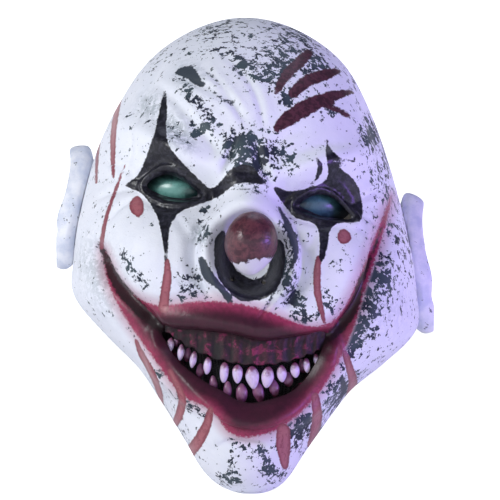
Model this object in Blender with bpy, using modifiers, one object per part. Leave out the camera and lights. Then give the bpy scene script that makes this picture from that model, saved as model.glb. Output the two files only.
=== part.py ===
"""Full-head latex clown mask: a slip-cast skin with glued ears, nose, lenses, gums and teeth,
and a slit nape whose two flaps fold outwards and are held by a hook-and-loop strap.

Metres, +Z up, the face looks along -Y, the wearer's left is +X. The finished mask has its
origin under the middle of its box, level with the underside of the chin."""

import math

import bmesh
import bpy
from mathutils import Matrix, Vector

MM = 0.001

# The head form is laid out about a vertical line through the ears, then the mask is moved by
# this much, so that the origin comes under the middle of its box.
SEAT = (0, 21.3 * MM, 1.5 * MM)

# Driving dimensions of the head form.
CHIN_TO_CROWN = 290 * MM
WAIST = 130 * MM                # height of the widest section, level with the mouth corners
SECTION_POWER = 2.3             # 2 is an ellipse, more is boxier
LEAN = 0.10                     # the sculpt sits askew: its left side hangs lower than its right
LEAN_STARTS = 185 * MM          # full lean below this height
LEAN_ENDS = 270 * MM            # no lean above this height
WALL = 2.4 * MM                 # latex thickness
GAP = 0.4 * MM                  # between pieces that touch
SEGMENTS = 56
RINGS = 38
FACE_CROWDING = 0.4             # 0 spaces the columns evenly, more crowds them to the face

# Latitude, half width, reach to the front, reach to the back and centre in Y. The three reaches
# are multiplied by the cosine of the latitude, so the form closes roundly over the crown.
SECTIONS = (
    (-90, 70 * MM, 80 * MM, 80 * MM, -78 * MM),
    (-60, 60 * MM, 80 * MM, 90 * MM, -65 * MM),
    (-45, 63 * MM, 86 * MM, 105 * MM, -50 * MM),
    (-30, 74 * MM, 100 * MM, 110 * MM, -25 * MM),
    (-20, 91 * MM, 108 * MM, 99 * MM, -10 * MM),
    (-10, 107 * MM, 109 * MM, 93 * MM, -3 * MM),
    (0, 106 * MM, 108 * MM, 98 * MM, 0),
    (20, 102 * MM, 108 * MM, 110 * MM, 0),
    (40, 102 * MM, 117 * MM, 118 * MM, 0),
    (60, 107 * MM, 118 * MM, 115 * MM, 4 * MM),
    (90, 98 * MM, 112 * MM, 108 * MM, 8 * MM),
)

# Face layout: distance from the midline and height, before the lean.
EYE_X = 45 * MM
EYE_Z = 177 * MM
EYE_HALF = (17 * MM, 8.5 * MM)          # half length and half height of the lid opening
LENS_HALF = (20 * MM, 12 * MM)
NOSE_Z = 152 * MM
NOSE_HALF = (15.5 * MM, 16 * MM, 19 * MM)
CAVE_HALF = (20 * MM, 26 * MM)
CAVE_Z = 143 * MM
MOUTH_HALF = 50 * MM
MOUTH_TOP = 93 * MM
MOUTH_CORNER = 95 * MM
MOUTH_BOTTOM = 53 * MM
EAR_Z = 148 * MM
EAR_HALF_HEIGHT = 42 * MM
RIGHT_EAR_LIFT = 14 * MM         # the sculpt's right ear sits higher than its left

# Neck opening and nape.
HEM_Z = 78 * MM                 # the level hem round the nape and sides
HEM_FRONT_Y = 10 * MM           # where the hem starts down towards the chin
CHIN_HEM_Y = -66 * MM
FOLD_TOP = 192 * MM             # each flap folds along a line from here, over the slit,
FOLD_SIDE_X = 60 * MM           # to here on the hem
FOLD_LIFT = 21 * MM             # the fold's straight axis stands this far outside its chord
SLIT_TOP = 158 * MM             # the slit runs from here down the middle of the nape to the hem

# Closure strap.
STRAP_Z = 112 * MM
STRAP_WIDTH = 25 * MM
STRAP_THICK = 1.4 * MM
STRAP_FOLD_X = -6 * MM          # the strap peels about this line
STRAP_ENDS = (-44 * MM, 46 * MM)
PATCH_HALF = 17 * MM
PATCH_THICK = 1.2 * MM


def smooth_curve(points, at):
    """The value at a place along a smooth curve through (place, value) points."""
    last = len(points) - 1
    at = min(max(at, points[0][0]), points[last][0])
    i = max(k for k in range(last) if points[k][0] <= at)
    slopes = []
    for k in (i, i + 1):
        a = points[max(k - 1, 0)]
        b = points[min(k + 1, last)]
        slopes.append((b[1] - a[1]) / (b[0] - a[0]))
    (x0, y0), (x1, y1) = points[i], points[i + 1]
    span = x1 - x0
    t = (at - x0) / span
    start = (2 * t**3 - 3 * t**2 + 1) * y0 + (t**3 - 2 * t**2 + t) * span * slopes[0]
    end = (3 * t**2 - 2 * t**3) * y1 + (t**3 - t**2) * span * slopes[1]
    return start + end


def smooth_step(low, high, value):
    t = min(max((value - low) / (high - low), 0), 1)
    return t * t * (3 - 2 * t)


def bump(distance, width):
    return math.exp(-((distance / width) ** 2))


def leaned(point):
    """The point after the sculpt's lean."""
    share = 1 - smooth_step(LEAN_STARTS, LEAN_ENDS, point.z)
    return Vector((point.x, point.y, point.z - LEAN * share * point.x))


def section(latitude):
    """Half width, front reach, back reach and centre of the head's section at a latitude."""
    cosine = math.cos(latitude)
    columns = [[(row[0], row[k]) for row in SECTIONS] for k in range(1, 5)]
    width, front, back, centre = (smooth_curve(c, math.degrees(latitude)) for c in columns)
    return width * cosine, front * cosine, back * cosine, centre


def latitude_of(z):
    reach = CHIN_TO_CROWN - WAIST if z > WAIST else WAIST
    return math.asin(max(-1, min(1, (z - WAIST) / reach)))


def relief(x, z):
    """How far the sculpted face stands out of the plain head form, in metres."""
    side = abs(x)
    brow_line = 187 * MM + 0.34 * (side - 15 * MM)
    brow = 8 * bump(side - 40 * MM, 30 * MM) * bump(z - brow_line, 9 * MM)
    socket = -9 * bump(side - EYE_X, 24 * MM) * bump(z - EYE_Z, 12 * MM)
    bridge = 18 * bump(side, 13 * MM) * bump(z - 163 * MM, 17 * MM)
    ring = math.hypot(side / CAVE_HALF[0], (z - CAVE_Z) / CAVE_HALF[1])
    cave = -8 * smooth_step(1.0, 0.6, ring)
    wings = 10 * bump(ring - 1.2, 0.28) * smooth_step(190 * MM, 150 * MM, z)
    cheek = 12 * bump(side - 57 * MM, 26 * MM) * bump(z - 137 * MM, 25 * MM)
    upper_lip = 5 * bump(side, 45 * MM) * bump(z - 102 * MM, 11 * MM)
    lip_line = 43 * MM + 50 * MM * (side / MOUTH_HALF) ** 2
    lower_lip = 8 * smooth_step(75 * MM, 45 * MM, side) * bump(z - lip_line, 12 * MM)
    chin = 5 * bump(side, 26 * MM) * bump(z - 16 * MM, 14 * MM)
    return MM * (brow + socket + bridge + cave + wings + cheek + upper_lip + lower_lip + chin)


def head_point(around, latitude, inset=0.0, sculpted=True):
    """A point of the head form. Around is 0 at the face and grows towards the wearer's left."""
    width, front, back, centre = section(latitude)
    sine, cosine = math.sin(around), math.cos(around)
    reach = front if cosine > 0 else back
    power = 2 / SECTION_POWER
    x = width * math.copysign(abs(sine) ** power, sine)
    y = centre - reach * math.copysign(abs(cosine) ** power, cosine)
    up = CHIN_TO_CROWN - WAIST if latitude > 0 else WAIST
    z = WAIST + up * math.sin(latitude)
    out = Vector((x / 0.105**2, (y - centre) / 0.105**2, (z - WAIST) / up**2)).normalized()
    front_share = smooth_step(-5 * MM, -45 * MM, y)
    rise = relief(x, z) * front_share if sculpted else 0
    return leaned(Vector((x, y, z)) + out * (rise - inset))


def front_y(x, z, depth=0.0):
    """Y of the plain head form's front at a place on the face, a depth behind it."""
    width, front, _, centre = section(latitude_of(z))
    share = min(abs(x) / width, 0.98)
    return centre - front * (1 - share**SECTION_POWER) ** (1 / SECTION_POWER) + depth


def back_y(x, z, height=0.0):
    """Y of the plain head form's back, a height outside it."""
    width, _, back, centre = section(latitude_of(z))
    share = min(abs(x) / width, 0.98)
    return centre + back * (1 - share**SECTION_POWER) ** (1 / SECTION_POWER) + height


# ---------------------------------------------------------------------------------------------
# Scene helpers


def new_collection(name):
    collection = bpy.data.collections.new(name)
    bpy.context.scene.collection.children.link(collection)
    return collection


def make_material(name, colour, roughness, metallic=0.0):
    material = bpy.data.materials.new(name)
    material.use_nodes = True
    shader = material.node_tree.nodes["Principled BSDF"]
    shader.inputs["Base Color"].default_value = (*colour, 1)
    shader.inputs["Roughness"].default_value = roughness
    shader.inputs["Metallic"].default_value = metallic
    return material


def file_under(obj, collection):
    for other in list(obj.users_collection):
        other.objects.unlink(obj)
    collection.objects.link(obj)
    return obj


def object_from(bm, name, collection, material=None):
    mesh = bpy.data.meshes.new(name)
    bm.to_mesh(mesh)
    bm.free()
    mesh.shade_smooth()
    if material:
        mesh.materials.append(material)
    obj = bpy.data.objects.new(name, mesh)
    collection.objects.link(obj)
    return obj


def as_cutter(obj):
    obj.hide_render = True
    obj.display_type = "WIRE"
    return file_under(obj, CUTTERS)


def cut(obj, cutter, operation="DIFFERENCE"):
    modifier = obj.modifiers.new(cutter.name, "BOOLEAN")
    modifier.operation = operation
    modifier.object = cutter


def centred(obj, centre):
    """Moves the object's origin to a point without moving its mesh."""
    obj.data.transform(Matrix.Translation(-Vector(centre)))
    obj.location = centre
    return obj


def outline_solid(name, points, thickness):
    """A flat outline drawn in X and Z, thick along Y and centred on Y 0, as a mesh."""
    curve = bpy.data.curves.new(name, "CURVE")
    curve.dimensions = "2D"
    curve.fill_mode = "BOTH"
    curve.extrude = thickness / 2
    spline = curve.splines.new("POLY")
    spline.points.add(len(points) - 1)
    for spot, (x, z) in zip(spline.points, points):
        spot.co = (x, z, 0, 1)
    spline.use_cyclic_u = True
    drawn = bpy.data.objects.new(name + "_outline", curve)
    bpy.context.scene.collection.objects.link(drawn)
    drawn.rotation_euler.x = math.pi / 2
    bpy.context.view_layer.update()
    mesh = bpy.data.meshes.new_from_object(drawn.evaluated_get(bpy.context.evaluated_depsgraph_get()))
    mesh.transform(drawn.matrix_world)
    bpy.data.objects.remove(drawn)
    bm = bmesh.new()
    bm.from_mesh(mesh)
    bpy.data.meshes.remove(mesh)
    bmesh.ops.remove_doubles(bm, verts=bm.verts, dist=0.01 * MM)
    bmesh.ops.recalc_face_normals(bm, faces=bm.faces)
    return object_from(bm, name, PARTS)


def box_cutter(name, low, high):
    bpy.ops.mesh.primitive_cube_add(size=1)
    box = bpy.context.object
    box.name = name
    low, high = Vector(low), Vector(high)
    box.data.transform(Matrix.Diagonal((*(high - low), 1)))
    box.location = (low + high) / 2
    return as_cutter(box)


# ---------------------------------------------------------------------------------------------
# Latex casting: the skin and the two nape flaps are cut from one shell


def make_shell(name, material):
    """The whole latex casting: a sphere shaped into the head form, then given its wall."""
    bpy.ops.mesh.primitive_uv_sphere_add(segments=SEGMENTS, ring_count=RINGS, radius=1)
    shell = bpy.context.object
    shell.name = name
    for vertex in shell.data.vertices:
        x, y, z = vertex.co
        around = math.atan2(x, -y) if math.hypot(x, y) > 1e-6 else 0
        around -= FACE_CROWDING * math.sin(around)
        vertex.co = head_point(around, math.asin(max(-1, min(1, z))))
    bm = bmesh.new()
    bm.from_mesh(shell.data)
    bmesh.ops.recalc_face_normals(bm, faces=bm.faces)
    pole = min(bm.verts, key=lambda vertex: vertex.co.z)
    bmesh.ops.delete(bm, geom=[pole], context="VERTS")
    bm.to_mesh(shell.data)
    bm.free()
    shell.data.materials.append(material)
    shell.data.shade_smooth()
    solidify = shell.modifiers.new("Wall", "SOLIDIFY")
    solidify.thickness = WALL
    solidify.offset = -1
    return file_under(shell, PARTS)


def lid_outline(half, drop=0.0, steps=20):
    """An almond with pointed corners, centred on the origin."""
    points = []
    for i in range(steps):
        turn = 2 * math.pi * i / steps
        height = half[1] * math.copysign(abs(math.sin(turn)) ** 1.4, math.sin(turn))
        points.append((half[0] * math.cos(turn), height - drop))
    return points


def mouth_edge(x, low):
    """Height of the mouth opening's lower or upper edge."""
    share = min(abs(x) / MOUTH_HALF, 1)
    if low:
        return MOUTH_BOTTOM + (MOUTH_CORNER - MOUTH_BOTTOM) * share**2.2
    return MOUTH_TOP + (MOUTH_CORNER - MOUTH_TOP) * share**2


def crescent(half, grow=0.0, steps=16):
    """The mouth opening's outline, grown by a margin above and below."""
    places = [half * (2 * i / steps - 1) for i in range(steps + 1)]
    upper = [(x, mouth_edge(x, False) + grow) for x in places]
    lower = [(x, mouth_edge(x, True) - grow) for x in reversed(places)]
    if not grow:
        lower = lower[1:-1]
    return [(x, z - LEAN * x) for x, z in upper + lower]


def make_face_cutters():
    """Cutters for the mouth, the two eyes and the two nostril vents."""
    found = []
    mouth = outline_solid("mouth_cutter", crescent(MOUTH_HALF), 60 * MM)
    mouth.location.y = -105 * MM
    found.append(mouth)
    for side, label in ((1, "left"), (-1, "right")):
        centre = leaned(Vector((side * EYE_X, -95 * MM, EYE_Z)))
        eye = outline_solid(f"{label}_eye_cutter", lid_outline(EYE_HALF), 60 * MM)
        eye.location = centre
        found.append(eye)
        bpy.ops.mesh.primitive_cylinder_add(vertices=12, radius=3.2 * MM, depth=50 * MM)
        vent = bpy.context.object
        vent.name = f"{label}_nostril_cutter"
        vent.rotation_euler.x = math.pi / 2
        vent.location = leaned(Vector((side * 9 * MM, -110 * MM, 127 * MM)))
        found.append(vent)
    return [as_cutter(cutter) for cutter in found]


def make_hem_cutter():
    """Takes away everything below the hem: level round the nape, running down to the chin."""
    outline = (
        (CHIN_HEM_Y, 0.5 * MM),
        (HEM_FRONT_Y, HEM_Z),
        (140 * MM, HEM_Z),
        (140 * MM, -40 * MM),
        (CHIN_HEM_Y, -40 * MM),
    )
    hem = outline_solid("hem_cutter", outline, 300 * MM)
    hem.rotation_euler.z = math.pi / 2
    return as_cutter(hem)


def fold_frame(side):
    """A point on a flap's fold axis, the axis, and the way from the fold plane into the flap."""
    top = Vector((0, back_y(0, FOLD_TOP), FOLD_TOP))
    foot_x = side * FOLD_SIDE_X
    foot = Vector((foot_x, back_y(FOLD_SIDE_X, HEM_Z), HEM_Z))
    axis = (foot - top).normalized()
    middle = (top + foot) / 2
    out = Vector((middle.x, middle.y, 0)).normalized()
    out = (out - axis * out.dot(axis)).normalized()
    into = axis.cross(out) * -side
    return middle + out * FOLD_LIFT, axis, into


def flap_region(name, side, margin):
    """Everything below the slit's top on a flap's side of it and of its fold, less a margin."""
    bm = bmesh.new()
    bmesh.ops.create_cube(bm, size=1)
    reach = 170 * MM
    for vertex in bm.verts:
        x = 2 * margin if vertex.co.x * side < 0 else reach
        y = 12 * MM if vertex.co.y < 0 else reach
        z = 60 * MM if vertex.co.z < 0 else SLIT_TOP - margin
        vertex.co = (side * x, y, z)
    place, _, into = fold_frame(side)
    cut_edges = bmesh.ops.bisect_plane(
        bm, geom=bm.verts[:] + bm.edges[:] + bm.faces[:],
        plane_co=place + into * margin, plane_no=into, clear_inner=True,
    )["geom_cut"]
    rim = [item for item in cut_edges if isinstance(item, bmesh.types.BMEdge)]
    bmesh.ops.edgenet_fill(bm, edges=rim)
    bmesh.ops.recalc_face_normals(bm, faces=bm.faces)
    return as_cutter(object_from(bm, name, PARTS))


def make_skin(material):
    skin = make_shell("head_skin", material)
    cut(skin, make_hem_cutter())
    for cutter in make_face_cutters():
        cut(skin, cutter)
    cut(skin, flap_region("left_nape_cutter", 1, -0.1 * MM))
    cut(skin, flap_region("right_nape_cutter", -1, -0.1 * MM))
    return skin


def make_flap(label, side, material):
    """One half of the slit nape, folding about a line from the slit's top to the hem."""
    flap = make_shell(f"{label}_nape_flap", material)
    cut(flap, bpy.data.objects["hem_cutter"])
    cut(flap, flap_region(f"{label}_flap_keeper", side, GAP), "INTERSECT")
    return centred(flap, fold_frame(side)[0])


# ---------------------------------------------------------------------------------------------
# Pieces glued to the casting


def shaped_ball(name, material, half, segments, rings, shape=None):
    """A ball stretched to three half sizes, then moved point by point by an optional rule."""
    bpy.ops.mesh.primitive_uv_sphere_add(segments=segments, ring_count=rings, radius=1)
    ball = bpy.context.object
    ball.name = name
    for vertex in ball.data.vertices:
        unit = vertex.co.copy()
        place = Vector(unit[k] * half[k] for k in range(3))
        vertex.co = shape(unit, place) if shape else place
    ball.data.materials.append(material)
    ball.data.shade_smooth()
    return file_under(ball, PARTS)


def make_nose(material):
    """The bulb of the nose: round in front, narrowing to a blunt keel below."""

    def shape(unit, place):
        if unit.z < 0:
            place.x *= 1 - 0.35 * unit.z**2
        place.y *= 1 - 0.25 * max(-unit.z, 0)
        return place

    nose = shaped_ball("nose_bulb", material, NOSE_HALF, 20, 14, shape)
    nose.location = (0, front_y(0, NOSE_Z) - 24 * MM, NOSE_Z)
    return nose


def make_ear(label, side, material):
    """A rubber ear with a flared rim, a hollow bowl and a heavy lobe, bonded to the side."""

    def shape(unit, place):
        flare = 0.55 + 0.45 * unit.z**2 + 0.25 * max(-unit.z, 0)
        place.x *= flare
        bowl = bump(unit.y + 0.1, 0.55) * bump(unit.z - 0.1, 0.7)
        if unit.x > 0:
            place.x -= 7 * MM * bowl
        place.y += 6 * MM * unit.z
        return place

    half = (12 * MM, 19 * MM, EAR_HALF_HEIGHT - (0 if side > 0 else 2 * MM))
    ear = shaped_ball(f"{label}_ear", material, half, 16, 14, shape)
    if side < 0:
        ear.data.transform(Matrix.Diagonal((-1, 1, 1, 1)))
        ear.data.flip_normals()
    lift = 0 if side > 0 else RIGHT_EAR_LIFT
    ear.location = leaned(Vector((side * 107 * MM, 8 * MM, EAR_Z + lift)))
    ear.rotation_euler.y = side * math.radians(-7)
    return ear


def trim_to_outside(obj, name):
    """Cuts away what lies within the head form, leaving a seat of GAP for the glue."""
    bpy.ops.mesh.primitive_uv_sphere_add(segments=SEGMENTS, ring_count=RINGS, radius=1)
    core = bpy.context.object
    core.name = name
    for vertex in core.data.vertices:
        x, y, z = vertex.co
        around = math.atan2(x, -y) if math.hypot(x, y) > 1e-6 else 0
        around -= FACE_CROWDING * math.sin(around)
        vertex.co = head_point(around, math.asin(max(-1, min(1, z))), inset=-GAP)
    bm = bmesh.new()
    bm.from_mesh(core.data)
    bmesh.ops.recalc_face_normals(bm, faces=bm.faces)
    bm.to_mesh(core.data)
    bm.free()
    as_cutter(core)
    cut(obj, core)


def make_lens(label, side, material):
    """A tinted lens glued behind the lids: a shallow dome wider than the opening."""
    bm = bmesh.new()
    bmesh.ops.create_grid(bm, x_segments=10, y_segments=8, size=1)
    centre = leaned(Vector((side * EYE_X, 0, EYE_Z)))
    seat = front_y(EYE_X, EYE_Z) + 18.5 * MM
    for vertex in bm.verts:
        u, v = vertex.co.x, vertex.co.y
        round_u = u * math.sqrt(1 - v * v / 2)
        round_v = v * math.sqrt(1 - u * u / 2)
        dome = 7 * MM * (1 - round_u**2 - round_v**2)
        turn = 0.35 * side * round_u * LENS_HALF[0]
        vertex.co = (round_u * LENS_HALF[0], turn - dome, round_v * LENS_HALF[1])
    bmesh.ops.recalc_face_normals(bm, faces=bm.faces)
    if sum((face.normal.y for face in bm.faces)) > 0:
        bmesh.ops.reverse_faces(bm, faces=bm.faces)
    lens = object_from(bm, f"{label}_eye_lens", PARTS, material)
    lens.location = (centre.x, seat, centre.z)
    solidify = lens.modifiers.new("Wall", "SOLIDIFY")
    solidify.thickness = 1.2 * MM
    return lens


def curved_band(name, material, half, low_edge, high_edge, depth, thickness, columns=18, rows=3):
    """A strip that follows the face a depth behind its front, between two edge rules."""
    bm = bmesh.new()
    bmesh.ops.create_grid(bm, x_segments=columns, y_segments=rows, size=1)
    for vertex in bm.verts:
        x = vertex.co.x * half
        low, high = low_edge(x), high_edge(x)
        z = low + (high - low) * (vertex.co.y + 1) / 2
        vertex.co = leaned(Vector((x, front_y(x, z, depth), z)))
    bmesh.ops.recalc_face_normals(bm, faces=bm.faces)
    if sum((face.normal.y for face in bm.faces)) > 0:
        bmesh.ops.reverse_faces(bm, faces=bm.faces)
    band = object_from(bm, name, PARTS, material)
    solidify = band.modifiers.new("Wall", "SOLIDIFY")
    solidify.thickness = thickness
    return band


def upper_root_line(x):
    """Where the upper teeth leave the gum."""
    return 77 * MM + 14 * MM * (abs(x) / 46 / MM) ** 2


def lower_root_line(x):
    """Where the lower teeth leave the gum."""
    return mouth_edge(x, True) - 1 * MM


GUM_DEPTH = 4.5 * MM
GUM_THICK = 4.5 * MM
LOWER_GUM_DEPTH = 11 * MM        # the lower row bites behind the upper one


def make_mouth(gum_material, gauze_material):
    curved_band(
        "upper_gum", gum_material, 48 * MM,
        upper_root_line, lambda x: mouth_edge(x, False) + 9 * MM, GUM_DEPTH, GUM_THICK,
    )
    curved_band(
        "lower_gum", gum_material, 46 * MM,
        lambda x: mouth_edge(x, True) - 9 * MM, lower_root_line, LOWER_GUM_DEPTH, GUM_THICK,
    )
    curved_band(
        "mouth_gauze", gauze_material, 54 * MM,
        lambda x: mouth_edge(x, True) - 10 * MM, lambda x: mouth_edge(x, False) + 10 * MM,
        LOWER_GUM_DEPTH + GUM_THICK + 4 * MM, 0.8 * MM, rows=6,
    )


# Each tooth: place across the mouth, width, height and sideways tilt in degrees.
UPPER_TEETH = (
    (-45, 5.5, 9.5, 10), (-38.5, 5, 10, 8), (-31, 5, 10.5, 12), (-22.5, 6, 10.5, 6),
    (-12.5, 7, 12.5, 4), (-4.5, 7.5, 11.5, 0), (4.5, 9.5, 14, -6), (13.5, 9, 13, 7),
    (22, 7, 10.5, -4), (30, 7, 9.5, -6), (37, 5.5, 9, -8), (43, 4.5, 8, -10),
)
LOWER_TEETH = (
    (-41, 4.5, 7, 8), (-34.5, 6, 8.5, 10), (-27, 5.5, 9, 4), (-19, 6, 9, -6),
    (-10.5, 6.5, 11, 2), (-2, 8.5, 12.5, 0), (8, 8, 14, -14), (17.5, 7.5, 11, -8),
    (26, 7, 9.5, -6), (34.5, 6, 9, -12),
)
TOOTH_THICK = 5 * MM


def make_tooth(name, x, width, height, tilt, root_z, points_up, depth, material):
    """One peg tooth: round at the tip, tapering a little to the root."""

    def shape(unit, place):
        tip_share = (unit.z + 1) / 2 if points_up else (1 - unit.z) / 2
        taper = 0.78 + 0.22 * math.sin(math.pi * min(1, 0.25 + 0.75 * tip_share))
        place.x *= taper
        place.y *= taper
        return place

    half = (width / 2, TOOTH_THICK / 2, height / 2)
    tooth = shaped_ball(name, material, half, 8, 6, shape)
    rise = (height / 2 + GAP) * (1 if points_up else -1)
    z = root_z + rise
    place = leaned(Vector((x, 0, z)))
    tooth.location = (place.x, front_y(x, z, depth + GUM_THICK / 2), place.z)
    turned = math.atan2(x, 0.1) * 0.8
    tooth.rotation_euler = (0, math.radians(tilt), turned)
    return tooth


def make_teeth(material):
    for row, teeth, line, depth in (
        ("upper", UPPER_TEETH, upper_root_line, GUM_DEPTH),
        ("lower", LOWER_TEETH, lower_root_line, LOWER_GUM_DEPTH),
    ):
        up = row == "lower"
        for number, (x, width, height, tilt) in enumerate(teeth, 1):
            place = x * MM
            edge = max if up else min
            root = edge(line(place - width * MM / 2), line(place + width * MM / 2), line(place))
            name = f"{row}_tooth_{number:02d}"
            make_tooth(name, place, width * MM, height * MM, tilt, root, up, depth, material)


# ---------------------------------------------------------------------------------------------
# Closure


def nape_band(name, material, ends, height, lift, thickness, origin, columns=10):
    """A strip of tape that follows the nape, lifted off it, between two places across."""
    bm = bmesh.new()
    bmesh.ops.create_grid(bm, x_segments=columns, y_segments=2, size=1)
    for vertex in bm.verts:
        x = ends[0] + (ends[1] - ends[0]) * (vertex.co.x + 1) / 2
        z = STRAP_Z + vertex.co.y * height / 2
        z_on_form = z + LEAN * x
        vertex.co = (x, back_y(x, z_on_form, lift), z)
    bmesh.ops.recalc_face_normals(bm, faces=bm.faces)
    if sum((face.normal.y for face in bm.faces)) < 0:
        bmesh.ops.reverse_faces(bm, faces=bm.faces)
    band = object_from(bm, name, PARTS, material)
    solidify = band.modifiers.new("Wall", "SOLIDIFY")
    solidify.thickness = thickness
    solidify.offset = 1
    return centred(band, origin)


def make_closure(tape, hooks):
    patch_lift = 1.0 * MM
    hook_lift = patch_lift + PATCH_THICK + GAP
    strap_lift = hook_lift + PATCH_THICK + GAP
    patch_ends = (9 * MM, STRAP_ENDS[1] - 3 * MM)
    fold_lift = strap_lift + STRAP_THICK + 1.0 * MM     # clear of the band where it bulges
    fold = (STRAP_FOLD_X, back_y(STRAP_FOLD_X, STRAP_Z, fold_lift), STRAP_Z)
    left_axis = fold_frame(1)[0]
    right_axis = fold_frame(-1)[0]
    height = STRAP_WIDTH - 4 * MM
    nape_band("loop_patch", hooks, patch_ends, height, patch_lift, PATCH_THICK, left_axis)
    nape_band("hook_patch", hooks, patch_ends, height, hook_lift, PATCH_THICK, fold)
    peel_ends = (STRAP_FOLD_X + GAP, STRAP_ENDS[1])
    nape_band("closure_strap", tape, peel_ends, STRAP_WIDTH, strap_lift, STRAP_THICK, fold)
    base_ends = (STRAP_ENDS[0], STRAP_FOLD_X - GAP)
    thick = strap_lift - patch_lift + STRAP_THICK
    nape_band("strap_anchor", tape, base_ends, STRAP_WIDTH, patch_lift, thick, right_axis)


# ---------------------------------------------------------------------------------------------

for old in list(bpy.data.objects):
    bpy.data.objects.remove(old)
PARTS = new_collection("latex_clown_mask")
CUTTERS = new_collection("cutters")

latex = make_material("white latex", (0.74, 0.76, 0.82), 0.45)
nose_red = make_material("nose red latex", (0.12, 0.035, 0.045), 0.35)
lens_green = make_material("green lens", (0.06, 0.25, 0.18), 0.15)
gum_red = make_material("gum", (0.20, 0.04, 0.07), 0.4)
enamel = make_material("tooth enamel", (0.72, 0.62, 0.72), 0.25)
gauze = make_material("black gauze", (0.012, 0.012, 0.014), 0.9)
tape_black = make_material("black tape", (0.02, 0.02, 0.022), 0.85)
hook_tape = make_material("hook and loop tape", (0.03, 0.03, 0.032), 0.95)

make_skin(latex)
make_nose(nose_red)
make_mouth(gum_red, gauze)
make_teeth(enamel)
for wearer_side, sign in (("left", 1), ("right", -1)):
    make_flap(wearer_side, sign, latex)
    trim_to_outside(make_ear(wearer_side, sign, latex), f"{wearer_side}_ear_seat")
    make_lens(wearer_side, sign, lens_green)
trim_to_outside(bpy.data.objects["nose_bulb"], "nose_seat")
make_closure(tape_black, hook_tape)

for piece in (*PARTS.objects, *CUTTERS.objects):
    piece.location += Vector(SEAT)
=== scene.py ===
# %% [markdown]
# # A latex clown mask
# This notebook dresses a full-head latex mask. The measured solids come in as a fixed frame and
# give the size, the joints and the place of every piece. Each step then makes one real piece: the
# cast skin, the painted face, the teeth, the lenses, the ears and the tape that closes the nape.

# %% Load the frame
import math

import bmesh
import bpy
import numpy as np
from mathutils import Matrix, Vector


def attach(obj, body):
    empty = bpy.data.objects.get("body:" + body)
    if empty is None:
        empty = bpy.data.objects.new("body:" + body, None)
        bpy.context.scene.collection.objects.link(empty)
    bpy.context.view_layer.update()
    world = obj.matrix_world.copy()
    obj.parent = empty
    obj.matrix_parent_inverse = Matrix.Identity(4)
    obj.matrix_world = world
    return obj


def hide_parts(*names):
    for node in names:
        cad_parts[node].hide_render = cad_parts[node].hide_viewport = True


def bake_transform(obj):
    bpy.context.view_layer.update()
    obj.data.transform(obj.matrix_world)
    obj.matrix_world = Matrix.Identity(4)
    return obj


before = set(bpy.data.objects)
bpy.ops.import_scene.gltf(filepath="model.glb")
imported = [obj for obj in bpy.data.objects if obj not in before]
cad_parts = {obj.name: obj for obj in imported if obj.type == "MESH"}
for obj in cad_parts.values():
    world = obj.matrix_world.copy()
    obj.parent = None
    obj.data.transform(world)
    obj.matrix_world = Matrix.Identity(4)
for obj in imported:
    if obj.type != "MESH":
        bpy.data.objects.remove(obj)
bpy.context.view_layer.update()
MM = 0.001

# %% [markdown]
# ## Where the face is
# The sculptor's form stands about a line through the ears. SEAT is how far that line is from the
# frame's origin. Lengths in this notebook are millimetres until a mesh is made, and the wearer's
# left is +X. The sculpt is crooked on purpose: below the brow it hangs lower on its left.

# %% Form constants
SEAT = np.array((0.0, 21.3, 1.5))
CHIN_TO_CROWN, WAIST = 290.0, 130.0
SECTION_POWER = 2.3
LEAN, LEAN_STARTS, LEAN_ENDS = 0.10, 185.0, 270.0
WALL = 2.4
HEM_Z, HEM_FRONT_Y, CHIN_HEM_Y = 78.0, 10.0, -66.0

# Latitude, half width, reach forwards, reach backwards, centre in Y.
SECTIONS = np.array((
    (-90, 70, 80, 80, -78), (-60, 60, 80, 90, -65), (-45, 63, 86, 105, -50),
    (-30, 74, 100, 110, -25), (-20, 91, 108, 99, -10), (-10, 107, 109, 93, -3),
    (0, 106, 108, 98, 0), (20, 102, 108, 110, 0), (40, 102, 117, 118, 0),
    (60, 107, 118, 115, 4), (90, 98, 112, 108, 8),
), float)


def smooth_step(low, high, value):
    t = np.clip((value - low) / (high - low), 0, 1)
    return t * t * (3 - 2 * t)


def bump(distance, width):
    return np.exp(-((distance / width) ** 2))


def smooth_curve(places, values, at):
    """Values along a smooth curve through given values at given places."""
    at = np.clip(at, places[0], places[-1])
    i = np.clip(np.searchsorted(places, at, side="right") - 1, 0, len(places) - 2)
    before, after = np.maximum(np.arange(len(places)) - 1, 0), np.minimum(
        np.arange(len(places)) + 1, len(places) - 1)
    slopes = (values[after] - values[before]) / (places[after] - places[before])
    span = places[i + 1] - places[i]
    t = (at - places[i]) / span
    start = (2 * t**3 - 3 * t**2 + 1) * values[i] + (t**3 - 2 * t**2 + t) * span * slopes[i]
    end = (3 * t**2 - 2 * t**3) * values[i + 1] + (t**3 - t**2) * span * slopes[i + 1]
    return start + end


def section(latitude):
    """Half width, forward reach, backward reach and centre at a latitude in radians."""
    degrees, cosine = np.degrees(latitude), np.cos(latitude)
    width, front, back, centre = (
        smooth_curve(SECTIONS[:, 0], SECTIONS[:, k], degrees) for k in range(1, 5))
    return width * cosine, front * cosine, back * cosine, centre


def latitude_of(z):
    reach = np.where(z > WAIST, CHIN_TO_CROWN - WAIST, WAIST)
    return np.arcsin(np.clip((z - WAIST) / reach, -1, 1))


def lean_share(z):
    return 1 - smooth_step(LEAN_STARTS, LEAN_ENDS, z)


def front_y(x, z, depth=0.0):
    """Y of the plain form's front, or of a layer some way behind it."""
    width, front, _, centre = section(latitude_of(z))
    share = np.minimum(np.abs(x) / width, 0.98)
    return centre - front * (1 - share**SECTION_POWER) ** (1 / SECTION_POWER) + depth


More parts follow.
